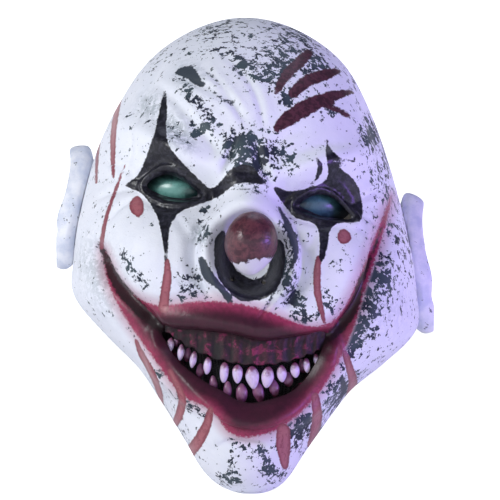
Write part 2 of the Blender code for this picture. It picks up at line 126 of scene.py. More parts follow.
def back_y(x, z, height=0.0):
    """Y of the plain form's back, or of a layer some way outside it."""
    width, _, back, centre = section(latitude_of(z))
    share = np.minimum(np.abs(x) / width, 0.98)
    return centre + back * (1 - share**SECTION_POWER) ** (1 / SECTION_POWER) + height


def leaned(x, y, z):
    """A place on the straight form, moved with the lean and into the frame, in mm."""
    return np.stack((x, y, z - LEAN * lean_share(z) * x), -1) + SEAT


print("head width at the mouth corners:", round(float(2 * section(np.array(0.0))[0]), 1), "mm")

# %% [markdown]
# ## Outlines
# A painted shape is easiest to hold as an outline on the face, in mm across from the midline and
# up from the chin. From an outline comes one number for each point of the skin: how far it is
# outside the edge, or inside where the number is negative. That one number can cut an opening,
# raise a rim along it, or tell a material where the paint stops.

# %% Outline tools


def rounded(points, closed=True, cuts=5):
    """More points along a smooth curve through the given ones."""
    pts = np.array(points, float)
    last = len(pts) if closed else len(pts) - 1
    out = []
    for i in range(last):
        pick = [i - 1, i, i + 1, i + 2]
        pick = [k % len(pts) if closed else min(max(k, 0), len(pts) - 1) for k in pick]
        a, b, c, d = pts[pick]
        for t in np.arange(cuts) / cuts:
            out.append(b + 0.5 * t * (c - a + t * (2 * a - 5 * b + 4 * c - d
                                                  + t * (3 * (b - c) + d - a))))
    if not closed:
        out.append(pts[-1])
    return np.array(out)


def line_distance(x, z, points):
    """Distance to a polyline, and how far along it the nearest place is, from 0 to 1."""
    pts = np.asarray(points, float)
    best, along = np.full(x.shape, 1e9), np.zeros(x.shape)
    for k in range(len(pts) - 1):
        (ax, az), (bx, bz) = pts[k], pts[k + 1]
        dx, dz = bx - ax, bz - az
        t = np.clip(((x - ax) * dx + (z - az) * dz) / (dx * dx + dz * dz + 1e-9), 0, 1)
        d = np.hypot(x - ax - t * dx, z - az - t * dz)
        nearer = d < best
        best = np.where(nearer, d, best)
        along = np.where(nearer, (k + t) / (len(pts) - 1), along)
    return best, along


def outline_distance(x, z, points):
    """Signed distance to a closed outline: negative inside."""
    pts = np.asarray(points, float)
    inside = np.zeros(x.shape, bool)
    for (ax, az), (bx, bz) in zip(pts, np.roll(pts, -1, 0)):
        crosses = (az > z) != (bz > z)
        inside ^= crosses & (x < (bx - ax) * (z - az) / (bz - az + 1e-12) + ax)
    far, _ = line_distance(x, z, np.vstack((pts, pts[:1])))
    return np.where(inside, -far, far)


def stroke_distance(x, z, points, widths):
    """Signed distance to a brush stroke that swells and thins along its way."""
    line = rounded(points, closed=False)
    far, along = line_distance(x, z, line)
    return far - np.interp(along, np.linspace(0, 1, len(widths)), widths) / 2


# %% [markdown]
# ## The openings of the face
# The mouth is a wide crescent, the eyes are almonds that slope down towards the nose, and two
# small vents hide in the nostrils.

# %% Openings
MOUTH = rounded((
    (-49.5, 91.5), (-33, 94.2), (-19, 94.4), (-6, 94), (10, 92), (26, 95.5), (38, 98.5), (47, 99.5),
    (46.5, 92), (42.5, 82.5), (36.5, 72.5), (28.5, 64), (19, 59.3), (4.5, 54.5), (-6, 55.8),
    (-13, 59.5), (-22, 63.2), (-32, 68.8), (-41, 75.5), (-46.8, 84.5),
))
EYES = {
    "right": rounded(((-59.5, 178), (-53, 184), (-45, 186), (-37, 183), (-28, 176.5), (-35, 173),
                      (-44, 172.5), (-52, 174))),
    "left": rounded(((32.5, 176), (40, 182), (48, 184), (56, 180.5), (64.5, 171.5), (57, 170.5),
                     (48, 170.5), (39, 173))),
}
VENTS = ((-7.5, 127.5), (11.0, 127.5))
VENT_RADIUS = 1.6
print("mouth outline points:", len(MOUTH), "widest", round(float(np.ptp(MOUTH[:, 0])), 1), "mm")

# %% [markdown]
# ## The painted shapes
# The face has four sorts of paint: black diamonds round the eyes, a torn red smile, brown-red
# drips and gashes, and dabs of blue-black from a nearly dry sponge. The sponge marks follow no
# outline, so they are held as soft round patches of more or less paint.

# %% Painted shapes
BLACK_SHAPES = (
    ((-48.5, 238), (-47, 224), (-47.5, 213), (-45.5, 203.5), (-39.5, 196), (-30.5, 187.5),
     (-21, 180.5), (-15.5, 184), (-7, 194), (3, 196.5), (9.5, 190), (14, 185.5), (5, 186),
     (-6, 184), (-14, 177), (-24, 171.5), (-33, 167.5), (-39, 164), (-43.5, 158), (-45.6, 150),
     (-46, 141), (-47.2, 132), (-48.6, 141), (-50, 150), (-52.2, 158.5), (-55.5, 165), (-63, 173.5),
     (-72.5, 176.8), (-65.5, 183), (-61, 192), (-57, 203), (-54, 212), (-51.5, 226)),
    ((49.5, 218), (51.5, 212), (58, 207), (68, 206.4), (58, 204), (53, 205), (57, 201), (64.5, 196),
     (69.5, 188), (71, 173.5), (66.5, 169), (57.5, 168), (51.5, 163.5), (49.5, 154), (47, 144),
     (44.4, 145), (44.6, 158), (41.5, 165.5), (30.5, 168), (23.5, 175), (16.8, 185), (26, 183.6),
     (33, 185), (42, 188.5), (48, 192), (50, 198), (48.6, 208)),
    ((42.5, 206), (43.5, 199), (41.5, 190.5), (45.5, 195.5), (46.8, 201)),
)
# The nostril caves are filled with the black as painted shade in the deep recess round the nose ball.
NOSTRIL_SHADE = ((-18.6, 143), (-17.3, 151.5), (-12.5, 156), (-10, 146), (-8, 138), (-4, 132), (4.8, 128.5),
            (12, 132.5), (15.5, 141), (19, 153.5), (23.4, 151), (24, 142), (22.4, 133), (20, 126),
            (12, 118), (1, 115), (-6, 116.5), (-14.5, 125), (-17.8, 134))
SMILE = ((-86, 137), (-81.5, 128.5), (-78, 121), (-72, 114.5), (-63, 109.3), (-52, 106.8), (-38, 109.5),
         (-26, 112.2), (-13, 113.2), (2, 112.5), (15, 110), (27, 106.3), (38, 104), (47, 105.5),
         (55, 111), (61, 120), (66, 131), (71, 143), (79, 163), (89.5, 188), (84.5, 166), (77, 143),
         (71, 125), (66, 108), (59, 90), (50, 73), (42, 61.5), (31, 49.5), (20, 40.5), (10, 36),
         (0, 33.5), (-10, 36), (-20, 47.5), (-34, 52.5), (-43, 59.5), (-51, 69.5), (-60, 81),
         (-68, 91), (-77, 105), (-84, 121))
CREASES = (
    ((-88, 140), (-83.5, 130), (-79.5, 121.5), (-73.5, 113), (-65, 104.5), (-56, 97), (-48.5, 90.5)),
    ((84, 170), (76, 149), (69.5, 133), (65.5, 119), (59, 107.5), (52.5, 100.5), (46, 95)),
)
# Widths of the dark brown painted shade laid along each crease.
CREASE_SHADE_WIDTHS = ((2, 5, 7, 8.5, 8, 6.5, 4), (0.5, 2, 4.5, 6.5, 6.5, 5.5, 4))
LIP_LINE = ((-64, 100), (-56.5, 85), (-46, 71), (-36, 61.5), (-22.5, 50), (-13, 43.5), (-1, 41),
            (10, 42), (22, 47), (34, 56.5), (46, 71.5), (56, 89), (63, 107))
DRIPS = (
    (((-46.6, 134), (-46.2, 126), (-47.5, 116), (-48.8, 106)), (3, 5, 5.5, 6.5)),
    (((44, 145), (43, 136), (43.5, 124), (47.5, 107)), (3.5, 4.6, 4.5, 2)),
    (((-65.7, 84), (-62.5, 76), (-57, 67), (-52.5, 56), (-50.5, 46)), (2, 4.5, 5, 4.4, 2.2)),
    (((-45, 68), (-40, 59), (-37.6, 51), (-40, 41), (-43, 35)), (3, 4, 4.8, 5, 3.5)),
    (((-20.5, 48), (-23, 38), (-28.5, 27), (-34, 18), (-35, 10)), (3.4, 5.5, 6.5, 6, 3)),
    (((23, 40), (23, 30), (24, 18)), (8, 9, 4)),
    (((42, 62), (43.5, 50), (42, 40), (39, 31)), (5, 6.5, 5.5, 3)),
    (((60, 90), (64, 78), (65.5, 70), (62, 58)), (3.5, 5.5, 6, 3)),
    (((-76, 236), (-79, 222), (-80.5, 204), (-80, 182)), (1.4, 3.8, 3.8, 2)),
    (((-72.5, 190), (-79, 172), (-84.5, 154), (-87, 138)), (0.8, 2, 2.4, 2.8)),
    (((-90, 203), (-91, 190), (-91, 177)), (1.5, 2.4, 1.5)),
)
DOTS = (((-65.4, 171.5), (-61.4, 168), (-61, 162), (-64, 158.3), (-68.6, 161.5), (-69.5, 166.5)),
        ((56, 162), (59.5, 164.5), (63.2, 162), (63.4, 158), (59.5, 155.3), (55.6, 157)))
GASHES = (
    (((19, 243), (25, 254), (33, 263), (39, 270)), (3, 6, 6.5, 5)),
    (((29, 243), (38, 252), (50, 258), (57, 261)), (6, 7.5, 6.5, 3)),
    (((19.5, 221), (27, 228), (38, 236), (50, 243), (66, 249.5)), (5, 9, 9.5, 7, 2.5)),
    (((46, 239.5), (54, 237), (63, 233.5)), (4, 4, 3)),
)
# Grey strokes. Those along the sculpted folds of the forehead, the bridge and beside the nose are painted
# shade in the folds; the last one, on the chin, is paint.
STROKES_AND_FOLD_SHADE = (
    (((-26, 137), (-22, 128), (-15, 122), (-10, 116), (-8.6, 110)), (4, 7, 4, 5, 1.5)),
    (((20.5, 173), (26, 162), (28.5, 155), (30.5, 147), (27.5, 138)), (1.5, 4, 5.5, 3, 2)),
    (((-9.5, 180.3), (-2, 182.2), (8, 179.8)), (0.4, 1.4, 0.4)),
    (((-5, 184), (3, 185.2), (9.5, 181.5)), (0.4, 1.2, 0.4)),
    (((19.5, 126), (13, 114), (5.5, 102)), (1.6, 1.0, 0.5)),
    (((-41, 249), (-34, 249.5), (-28, 244), (-22, 241.5)), (3, 9, 5, 1)),
    (((-21.5, 240.5), (-15, 236), (-7.5, 233), (-6, 236)), (1.2, 1.6, 2.4, 0.6)),
    (((-25, 252), (-20, 248.5), (-15, 244)), (1, 1.8, 0.8)),
    (((58, 75), (60, 68), (58, 62)), (3, 4, 2)),
)
# Across, up, radius and strength of the sponge's dabs.
DABS = (
    (6.5, 203, 12, 1.0), (-8, 208, 9, 0.66), (22, 207, 10, 0.6), (5, 192, 8, 0.9), (-3, 214, 9, 0.4),
    (-22, 225, 6, 0.9), (-28, 216, 6, 0.85), (-36, 238, 5, 0.9), (-29, 232, 5, 0.7), (0, 258, 9, 0.85),
    (15, 250, 7, 0.8), (25, 239, 6, 0.95), (21, 259, 7, 0.7), (77, 223, 7.5, 1.0), (70, 258, 6, 0.5),
    (81, 234, 7, 0.5), (50, 235, 6, 0.7), (44, 262, 9, 0.5), (26, 160, 5, 0.9), (28, 150, 5, 0.9),
    (26, 140, 5, 0.95), (26, 129, 6, 1.0), (28, 117, 6.5, 1.0), (36, 110, 5, 0.95), (-32, 121, 8.5, 1.0),
    (-25, 152, 6, 0.75), (-24, 166, 7, 0.6), (-73, 133, 4, 0.75), (-67, 126, 4, 0.75), (-61, 119.5, 3.5, 0.8),
    (50, 119, 6.5, 0.85), (44, 112, 4, 0.7), (56, 144, 4, 0.6), (79, 137, 11, 0.8), (73, 119, 9, 0.75),
    (70, 106, 9, 0.95), (64, 93, 8, 0.8), (60, 72, 10, 0.85), (56, 58, 9, 0.85), (33, 45, 8.5, 1.1),
    (29, 34, 7, 0.9), (46, 40, 8, 0.75), (-3, 27, 5, 0.8), (-9, 9, 7, 0.95), (9, 23, 7, 0.6),
    (18, 13, 7, 0.75), (-53, 64, 5, 0.5), (-38, 55, 4.5, 1.0), (-30, 48.5, 4.5, 1.0), (-24, 43, 3.5, 0.8),
    (-50, 45, 6, 0.65), (-41, 30, 8, 0.5), (85, 205, 10, 0.4), (86, 186, 9, 0.35), (94, 160, 14, 0.45),
    (-57, 226, 7, 0.35), (-42, 213, 8, 0.4), (-60, 262, 12, 0.3), (30, 275, 18, 0.6), (-15, 276, 14, 0.45),
)
# Thin grey washes, where the sponge was wet.
WASHES = (
    (-57, 227, 8, 0.8), (-43, 213, 9, 0.9), (-34, 205, 5, 0.5), (-82, 112, 14, 0.5), (-92, 132, 14, 0.4),
    (-26, 152, 6, 1.0), (-34, 248, 7, 1.0), (-32, 121, 8, 0.5), (33, 45, 8, 0.5), (77, 223, 6, 0.4),
    (28, 122, 7, 0.7), (27, 156, 5, 0.6), (-52, 52, 8, 0.4), (85, 120, 18, 0.25), (5, 203, 9, 0.25),
)
print(len(DRIPS), "drips,", len(GASHES), "gashes and", len(DABS), "sponge dabs")

# %% [markdown]
# ## The sculpt
# The face is one height over the plain form, added up from soft hills and hollows: brows, eye
# sockets, nose wings, cheeks, lips and chin. Skin folds are narrow troughs along drawn lines.
# A height like this is quick to change, because each feature is one term with its own place.

# %% Sculpted height
FOLDS = (
    (((-25, 253), (-17, 246), (-8, 236), (-2, 226)), 1.0, 1.8),
    (((-42, 247), (-31, 243.5), (-21, 240), (-8, 233), (1, 222)), 1.3, 2.0),
    (((-14, 264), (0, 251), (8, 237), (11, 222)), 0.9, 2.0),
    (((-54, 240), (-40, 229), (-27, 215), (-17, 204)), 1.2, 2.4),
    (((14, 206), (24, 216), (36, 222)), 0.8, 2.0), (((30, 204), (46, 213), (62, 215)), 0.8, 2.2),
    (((-5, 211), (-8, 199), (-13, 189)), 2.2, 2.2), (((7, 210), (9, 197), (15, 187)), 2.2, 2.2),
    (((-9, 188.5), (2, 190.5), (12, 186)), 1.2, 1.3), (((-9, 184), (2, 185.4), (10, 182)), 1.1, 1.2),
    (((-9, 180), (2, 181.4), (10, 179)), 0.9, 1.1),
    (((-64, 181), (-74, 187), (-84, 191)), 1.0, 1.5), (((-66, 175), (-77, 173), (-87, 167)), 1.0, 1.5),
    (((-63, 170), (-72, 163), (-78, 153)), 0.9, 1.6), (((67, 181), (76, 187), (84, 191)), 0.9, 1.5),
    (((70, 173), (79, 170), (87, 164)), 0.9, 1.5), (((66, 166), (74, 158), (79, 149)), 0.9, 1.6),
    (((-51, 254), (-66, 217), (-72, 190), (-77, 171)), 1.6, 3.0),
    (((70, 246), (79, 222), (83, 200)), 1.0, 3.0),
    (((-25, 158), (-28, 146), (-29, 134), (-25, 124), (-20, 117)), 2.0, 2.4),
    (((29, 160), (32, 147), (32.5, 134), (28.5, 124), (24, 116)), 2.0, 2.4),
    (((-40, 160), (-33, 152), (-30, 142)), 0.8, 2.0), (((40, 160), (36, 150), (34, 140)), 0.8, 2.0),
    (((19, 126), (13, 114), (5.5, 102)), 0.9, 0.8),
    (((-63, 170.5), (-55, 166.5), (-46, 165), (-36, 167), (-26, 171)), 1.1, 1.3),
    (((27, 170), (36, 166), (48, 165), (60, 166)), 1.1, 1.3),
    (((-64, 183), (-57, 190.5), (-47, 194.5), (-36, 190), (-26, 182)), 1.8, 1.5),
    (((26, 180), (36, 186.5), (47, 189.5), (59, 186.5), (66, 178)), 1.8, 1.5),
    (((-18, 25), (-8, 30), (6, 30), (16, 26)), 1.4, 2.6),
)


def openings_distance(x, z):
    """Signed distance to the nearest opening of the face."""
    far = outline_distance(x, z, MOUTH)
    for almond in EYES.values():
        far = np.minimum(far, outline_distance(x, z, almond))
    for across, up in VENTS:
        far = np.minimum(far, np.hypot(x - across, z - up) - VENT_RADIUS)
    return far


def relief(x, z):
    """How far the sculpted face stands out of the plain form, in mm."""
    side = np.abs(x - 1.5)
    nose_x = x - 2.5
    brow_line = 191 + 0.36 * (side - 15)
    brow = 9.5 * bump(side - 40, 27) * bump(z - brow_line, 9)
    glabella = 5 * bump(x - 1, 15) * bump(z - 201, 13)
    socket = -9.5 * bump(side - 45, 22) * bump(z - 177, 12)
    inner_corner = -5 * bump(side - 22, 7) * bump(z - 176, 10)
    bridge = 17 * bump(nose_x, 14) * bump(z - 165, 19)
    ring = np.hypot(nose_x / 19, (z - 143) / 26)
    cave = -11 * smooth_step(1.0, 0.72, ring)
    wings = 10 * bump(ring - 1.2, 0.26) * smooth_step(190, 150, z) * smooth_step(112, 124, z)
    cheek = 13 * bump(side - 54, 25) * bump(z - 138, 24)
    muzzle = 5 * bump(x, 36) * bump(z - 108, 20)
    chin = 6 * bump(x, 24) * bump(z - 14, 13)
    height = (brow + glabella + socket + inner_corner + bridge + cave + wings + cheek
              + muzzle + chin)

    smile = outline_distance(x, z, rounded(SMILE))
    apple = smooth_step(0, 9, smile) * smooth_step(60, 100, z) * smooth_step(185, 150, z)
    height += 3.5 * apple * smooth_step(20, 40, side)
    for crease in CREASES:
        far, along = line_distance(x, z, rounded(crease, closed=False))
        height -= 9 * bump(far, 4.6) * smooth_step(0, 0.18, along)
    mouth = outline_distance(x, z, MOUTH)
    below = smooth_step(100, 82, z) * smooth_step(70, 52, side)
    above = smooth_step(88, 97, z) * smooth_step(62, 48, side)
    height += below * (9 * bump(mouth - 9, 8.5)) + above * 4.5 * bump(mouth - 7, 7)
    lip_edge, _ = line_distance(x, z, rounded(LIP_LINE, closed=False))
    height -= 3.2 * bump(lip_edge, 3.2) * smooth_step(68, 56, side)
    height -= 6 * np.exp(-np.maximum(mouth, 0) / 2.0)

    for almond in EYES.values():
        lid = outline_distance(x, z, almond)
        height += 3.4 * bump(lid - 3.2, 1.9) - 2.5 * np.exp(-np.maximum(lid, 0) / 1.1)
    for points, depth, width in FOLDS:
        far, along = line_distance(x, z, rounded(points, closed=False))
        fade = np.sin(np.pi * np.clip(along, 0.02, 0.98)) ** 0.5
        height += 1.4 * depth * fade * (0.55 * bump(far - 2.1 * width, 1.6 * width) - bump(far, width))
    return height


print("deepest fold:", max(fold[1] for fold in FOLDS), "mm")

# %% [markdown]
# ## The cast skin
# The whole casting starts as one sheet of squares wrapped round the form, with its columns and
# rows crowded where the face is. The openings are carved out of the sheet by splitting each edge
# where the distance to an outline passes zero, which leaves a clean line whatever the grid does.

# %% Wrap the grid round the form
COLUMNS, ROWS = 264, 196


def crowd(count, centres):
    """Places from 0 to 1 that are closest together near the centres."""
    t = np.linspace(0, 1, 4000)
    weight = 1 + sum(gain * bump(t - at, width) for at, width, gain in centres)
    total = np.concatenate(((0,), np.cumsum((weight[1:] + weight[:-1]) / 2)))
    return np.interp(np.linspace(0, 1, count), total / total[-1], t)


def form_points(around, latitude):
    """Points of the skin in frame millimetres, before the wall."""
    width, front, back, centre = section(latitude)
    sine, cosine = np.sin(around), np.cos(around)
    reach = np.where(cosine > 0, front, back)
    power = 2 / SECTION_POWER
    x = width * np.copysign(np.abs(sine) ** power, sine)
    y = centre - reach * np.copysign(np.abs(cosine) ** power, cosine)
    up = np.where(latitude > 0, CHIN_TO_CROWN - WAIST, WAIST)
    z = WAIST + up * np.sin(latitude)
    out = np.stack((x / 105**2, (y - centre) / 105**2, (z - WAIST) / up**2), -1)
    out /= np.linalg.norm(out, axis=-1, keepdims=True) + 1e-12
    drawn = z - LEAN * lean_share(z) * x + 0.105 * x
    rise = relief(x, drawn) * smooth_step(-12, -48, y)
    moved = np.stack((x, y, z), -1) + out * rise[..., None]
    return leaned(moved[..., 0], moved[..., 1], moved[..., 2])


turn = (crowd(COLUMNS + 1, ((0.5, 0.16, 3.2),))[:-1] - 0.5) * 2 * math.pi
rise_up = crowd(ROWS, ((0.46, 0.20, 1.5), (0.30, 0.10, 0.8)))
latitudes = (rise_up * 0.985 + 0.015) * math.pi - math.pi / 2
around, latitude = np.meshgrid(turn, latitudes)
grid = form_points(around, latitude)
print("grid:", grid.shape, "spacing at the nose",
      round(float(np.linalg.norm(grid[90, COLUMNS // 2] - grid[90, COLUMNS // 2 + 1])), 2), "mm")


# %% Drawn place of a point


def drawn_place(points):
    """Where points of the frame lie on the drawn face: across, and up from the chin."""
    x, z = points[..., 0] - SEAT[0], points[..., 2] - SEAT[2]
    return x, z + 0.105 * x


def front_share(points):
    """1 over the face and 0 behind the ears."""
    return smooth_step(14, -6, points[..., 1] - SEAT[1])


# %% Carve openings


def carve(mesh, field):
    """Cuts a bmesh along the places where field is zero and deletes the part below zero."""
    values = {}
    for vertex, value in zip(mesh.verts, field(np.array([v.co for v in mesh.verts]))):
        values[vertex] = value if abs(value) > 1e-3 else 1e-3
    fresh = set()
    for edge in list(mesh.edges):
        a, b = edge.verts
        if values[a] * values[b] < 0:
            share = values[a] / (values[a] - values[b])
            _, vertex = bmesh.utils.edge_split(edge, a, share)
            values[vertex] = 0.0
            fresh.add(vertex)
    for face in list(mesh.faces):
        marks = [v for v in face.verts if v in fresh]
        if len(marks) == 2 and not any(set(e.verts) == set(marks) for e in face.edges):
            bmesh.utils.face_split(face, marks[0], marks[1])
        elif len(marks) == 4:
            bmesh.ops.connect_verts(mesh, verts=marks)
    gone = [f for f in mesh.faces if sum(values.get(v, 0) for v in f.verts) < 0]
    bmesh.ops.delete(mesh, geom=gone, context="FACES")
    return mesh


def hem_height(points):
    """Height above the trimmed edge: level round the nape, running down to the chin."""
    p = points - SEAT
    level = p[:, 2] - HEM_Z
    run = (HEM_Z - 0.5) / (HEM_FRONT_Y - CHIN_HEM_Y)
    slope = (p[:, 2] - 0.5 - run * (p[:, 1] - CHIN_HEM_Y)) / math.hypot(1, run)
    return np.where(p[:, 1] > HEM_FRONT_Y, level, slope)


def face_openings(points):
    across, up = drawn_place(points)
    facing = points[:, 1] - SEAT[1] < -30
    return np.where(facing, openings_distance(across, up), 20.0)


skin_sheet = bmesh.new()
corners = [[skin_sheet.verts.new(grid[r, c]) for c in range(COLUMNS)] for r in range(ROWS - 1)]
crown = skin_sheet.verts.new(grid[-1].mean(0))
for r in range(ROWS - 2):
    for c in range(COLUMNS):
        n = (c + 1) % COLUMNS
        skin_sheet.faces.new((corners[r][c], corners[r][n], corners[r + 1][n], corners[r + 1][c]))
for c in range(COLUMNS):
    skin_sheet.faces.new((corners[-1][c], corners[-1][(c + 1) % COLUMNS], crown))
carve(skin_sheet, hem_height)
carve(skin_sheet, face_openings)
print("skin sheet:", len(skin_sheet.verts), "points,", len(skin_sheet.faces), "faces")

# %% [markdown]
# ## Paint as numbers on the skin
# Every point of the skin gets a few numbers: how far it is from each sort of painted edge, how
# hard the sponge was pressed there, and how much grey wash it has. Materials turn them into
# colour later. Distances stay sharp between points, where a painted mask would look stepped.

# %% Paint numbers


def union(distances):
    out = distances[0]
    for d in distances[1:]:
        out = np.minimum(out, d)
    return out


def paint_numbers(points):
    """All paint numbers for points of the skin, in frame millimetres."""
    x, z = drawn_place(points)
    facing = front_share(points)
    away = 60 * (1 - facing)
    # The black: paint round the eyes, and painted shade in the nostril caves.
    black_and_shade = union([outline_distance(x, z, rounded(s, cuts=4)) for s in BLACK_SHAPES]
                  + [outline_distance(x, z, rounded(NOSTRIL_SHADE, cuts=4))])
    # Grey strokes, mostly painted shade along the folds.
    strokes_and_fold_shade = union([stroke_distance(x, z, p, w) for p, w in STROKES_AND_FOLD_SHADE])
    smile = outline_distance(x, z, rounded(SMILE, cuts=4))
    # Painted shade along the smile creases.
    crease = union([stroke_distance(x, z, c, w) for c, w in zip(CREASES, CREASE_SHADE_WIDTHS)])
    drips = union([stroke_distance(x, z, p, w) for p, w in DRIPS]
                  + [outline_distance(x, z, rounded(d)) for d in DOTS])
    gashes = union([stroke_distance(x, z, p, w) for p, w in GASHES])
    dabs = sum(s * bump(np.hypot(x - a, z - b), r) for a, b, r, s in DABS)
    wash = sum(s * bump(np.hypot(x - a, z - b), r) for a, b, r, s in WASHES)
    right_edge = smooth_step(40, 95, x) * smooth_step(20, 60, z)
    base = 0.10 + 0.14 * right_edge + 0.12 * smooth_step(235, 275, z)
    base = base - 0.10 * bump(np.abs(x - 1) - 55, 22) * bump(z - 138, 20)
    # Distance from the mouth opening, for the painted shade where the lips roll in.
    mouth = outline_distance(x, z, MOUTH)
    return {
        "black_paint_and_shade_edge": black_and_shade + away, "stroke_and_fold_shade_edge": strokes_and_fold_shade + away, "smile_edge": smile + away,
        "groove_shade_edge": crease + away, "drip_edge": drips + away, "gash_edge": gashes + away,
        "sponge": (1.25 * dabs * facing + base) * (0.7 + 0.3 * facing) + 0.05,
        "wash": wash * facing, "mouth_shade_edge": mouth + away,
    }


def store_number(mesh, name, values):
    layer = mesh.attributes.new(name, "FLOAT", "POINT")
    layer.data.foreach_set("value", np.asarray(values, np.float32))


# %% [markdown]
# ## One casting, three pieces
# The nape is slit from the hem upwards into two halves. The sheet is therefore cut into the skin
# and two flaps, but only after its normals are known, so the light runs on across the fold lines
# as it does on one piece of latex. Each part then gets its wall.

# %% Fold planes
FOLD_TOP, FOLD_SIDE_X = 192.0, 60.0


def fold_plane(side):
    """A point of a fold plane and the way from it into the flap, in frame millimetres."""
    top = np.array((0.0, float(back_y(0.0, FOLD_TOP)), FOLD_TOP))
    foot = np.array((side * FOLD_SIDE_X, float(back_y(FOLD_SIDE_X, HEM_Z)), HEM_Z))
    axis = (foot - top) / np.linalg.norm(foot - top)
    middle = (top + foot) / 2
    out = np.array((middle[0], middle[1], 0.0))
    out /= np.linalg.norm(out)
    out -= axis * out.dot(axis)
    out /= np.linalg.norm(out)
    return middle + SEAT, np.cross(axis, out) * -side


def into_flap(points, side):
    """Positive inside a flap, measured from the fold plane and from the slit."""
    place, into = fold_plane(side)
    behind = (points - place) @ into
    across = points[:, 0] * side
    rear = points[:, 1] - SEAT[1] - 12
    return np.minimum(np.minimum(behind, rear), across)


# %% Give a sheet its wall


def walled(name, sheet, normals, thickness):
    """A closed solid from an open sheet: outer face, inner face and a flat trimmed rim."""
    verts = list(sheet.verts)
    index = {v: i for i, v in enumerate(verts)}
    outer = np.array([v.co for v in verts])
    inner = outer - normals * thickness
    count = len(verts)
    faces = [[index[v] for v in f.verts] for f in sheet.faces]
    split = [tuple(n) for f in faces for n in normals[f]]
    backs = [[i + count for i in reversed(f)] for f in faces]
    split += [tuple(-n) for f in backs for n in normals[np.array(f) - count]]
    rims = []
    for edge in sheet.edges:
        if len(edge.link_loops) == 1:
            loop = edge.link_loops[0]
            a, b = index[loop.vert], index[loop.link_loop_next.vert]
            rims.append((b, a, a + count, b + count))
            flat = np.cross(outer[a] - outer[b], inner[a] - outer[b])
            split += [tuple(flat / (np.linalg.norm(flat) + 1e-12))] * 4
    mesh = bpy.data.meshes.new(name)
    mesh.from_pydata(np.vstack((outer, inner)) * MM, [], faces + backs + rims)
    mesh.shade_smooth()
    mesh.normals_split_custom_set(split)
    obj = bpy.data.objects.new(name, mesh)
    bpy.context.scene.collection.objects.link(obj)
    for key, values in paint_numbers(outer).items():
        store_number(mesh, key, np.concatenate((values, values)))
    store_number(mesh, "inside", np.concatenate((np.zeros(count), np.ones(count))))
    return obj


skin_sheet.normal_update()
normal_layer = skin_sheet.verts.layers.float_vector.new("form_normal")
for vertex in skin_sheet.verts:
    vertex[normal_layer] = vertex.normal


def make_part(name, field):
    piece = skin_sheet.copy()
    for one in field:
        carve(piece, one)
    loose = [v for v in piece.verts if not v.link_faces]
    bmesh.ops.delete(piece, geom=loose, context="VERTS")
    piece.verts.index_update()
    layer = piece.verts.layers.float_vector["form_normal"]
    normals = np.array([v[layer] for v in piece.verts])
    normals /= np.linalg.norm(normals, axis=1, keepdims=True) + 1e-12
    made = walled(name, piece, normals, WALL)
    piece.free()
    print(f"{name}: {len(made.data.polygons)} faces")
    return made


skin = make_part("skin", [lambda p: -into_flap(p, 1), lambda p: -into_flap(p, -1)])
flaps = {}
for label, side in (("left", 1), ("right", -1)):
    flaps[label] = make_part(f"{label}_flap_skin", [
        lambda p, s=side: np.minimum(into_flap(p, s), p[:, 0] * s - 0.15)])
skin_sheet.free()

# %% [markdown]
# ## Finishes
# The mask is cast in white latex, rubbed with a nearly dry sponge, then painted with rubber
# paint and left satin. Small helpers keep the node trees readable, and whatever several finishes
# share is a node group: the ragged brush edge, the sponge marks and the fine grain of the rubber.

# %% Node helpers


def srgb(red, green, blue):
    """A colour as a paint chart gives it, 0 to 255, in the linear values that shaders use."""
    out = []
    for channel in (red, green, blue):
        c = channel / 255
        out.append(c / 12.92 if c <= 0.04045 else ((c + 0.055) / 1.055) ** 2.4)
    return (*out, 1.0)


def put(tree, kind, inputs=None, **settings):
    """A node with its settings, and its inputs set to values or joined to sockets."""
    node = tree.nodes.new(kind)
    for key, value in settings.items():
        setattr(node, key, value)
    for key, value in (inputs or {}).items():
        if isinstance(value, bpy.types.NodeSocket):
            tree.links.new(value, node.inputs[key])
        else:
            node.inputs[key].default_value = value
    return node


def maths(tree, operation, a, b=0.0, c=0.0, clamp=False):
    return put(tree, "ShaderNodeMath", {0: a, 1: b, 2: c}, operation=operation,
               use_clamp=clamp).outputs[0]


def blended(tree, share, low, high):
    """A colour between two colours."""
    node = put(tree, "ShaderNodeMix", data_type="RGBA")
    for key, value in ((0, share), (6, low), (7, high)):
        if isinstance(value, bpy.types.NodeSocket):
            tree.links.new(value, node.inputs[key])
        else:
            node.inputs[key].default_value = value
    return node.outputs[2]


def between(tree, value, low, high):
    """0 at low and 1 at high, easing at both ends; high may be the smaller."""
    return put(tree, "ShaderNodeMapRange", {"Value": value, "From Min": low, "From Max": high},
               interpolation_type="SMOOTHSTEP").outputs[0]


def number(tree, name):
    return put(tree, "ShaderNodeAttribute", attribute_name=name).outputs["Fac"]


def noise(tree, place, scale, detail=3.0, roughness=0.55, distortion=0.0):
    return put(tree, "ShaderNodeTexNoise", {
        "Vector": place, "Scale": scale, "Detail": detail, "Roughness": roughness,
        "Distortion": distortion}).outputs["Fac"]


def node_group(name, inputs, outputs):
    """An empty group with named sockets, and its input and output nodes."""
    group = bpy.data.node_groups.new(name, "ShaderNodeTree")
    for label, kind, default in inputs:
        socket = group.interface.new_socket(label, in_out="INPUT", socket_type=kind)
        if default is not None:
            socket.default_value = default
    for label, kind in outputs:
        group.interface.new_socket(label, in_out="OUTPUT", socket_type=kind)
    return group, group.nodes.new("NodeGroupInput"), group.nodes.new("NodeGroupOutput")


def use_group(tree, group, inputs):
    node = tree.nodes.new("ShaderNodeGroup")
    node.node_tree = group
    for key, value in inputs.items():
        if isinstance(value, bpy.types.NodeSocket):
            tree.links.new(value, node.inputs[key])
        else:
            node.inputs[key].default_value = value
    return node


# %% Shared effects
FLOAT, VECTOR = "NodeSocketFloat", "NodeSocketVector"

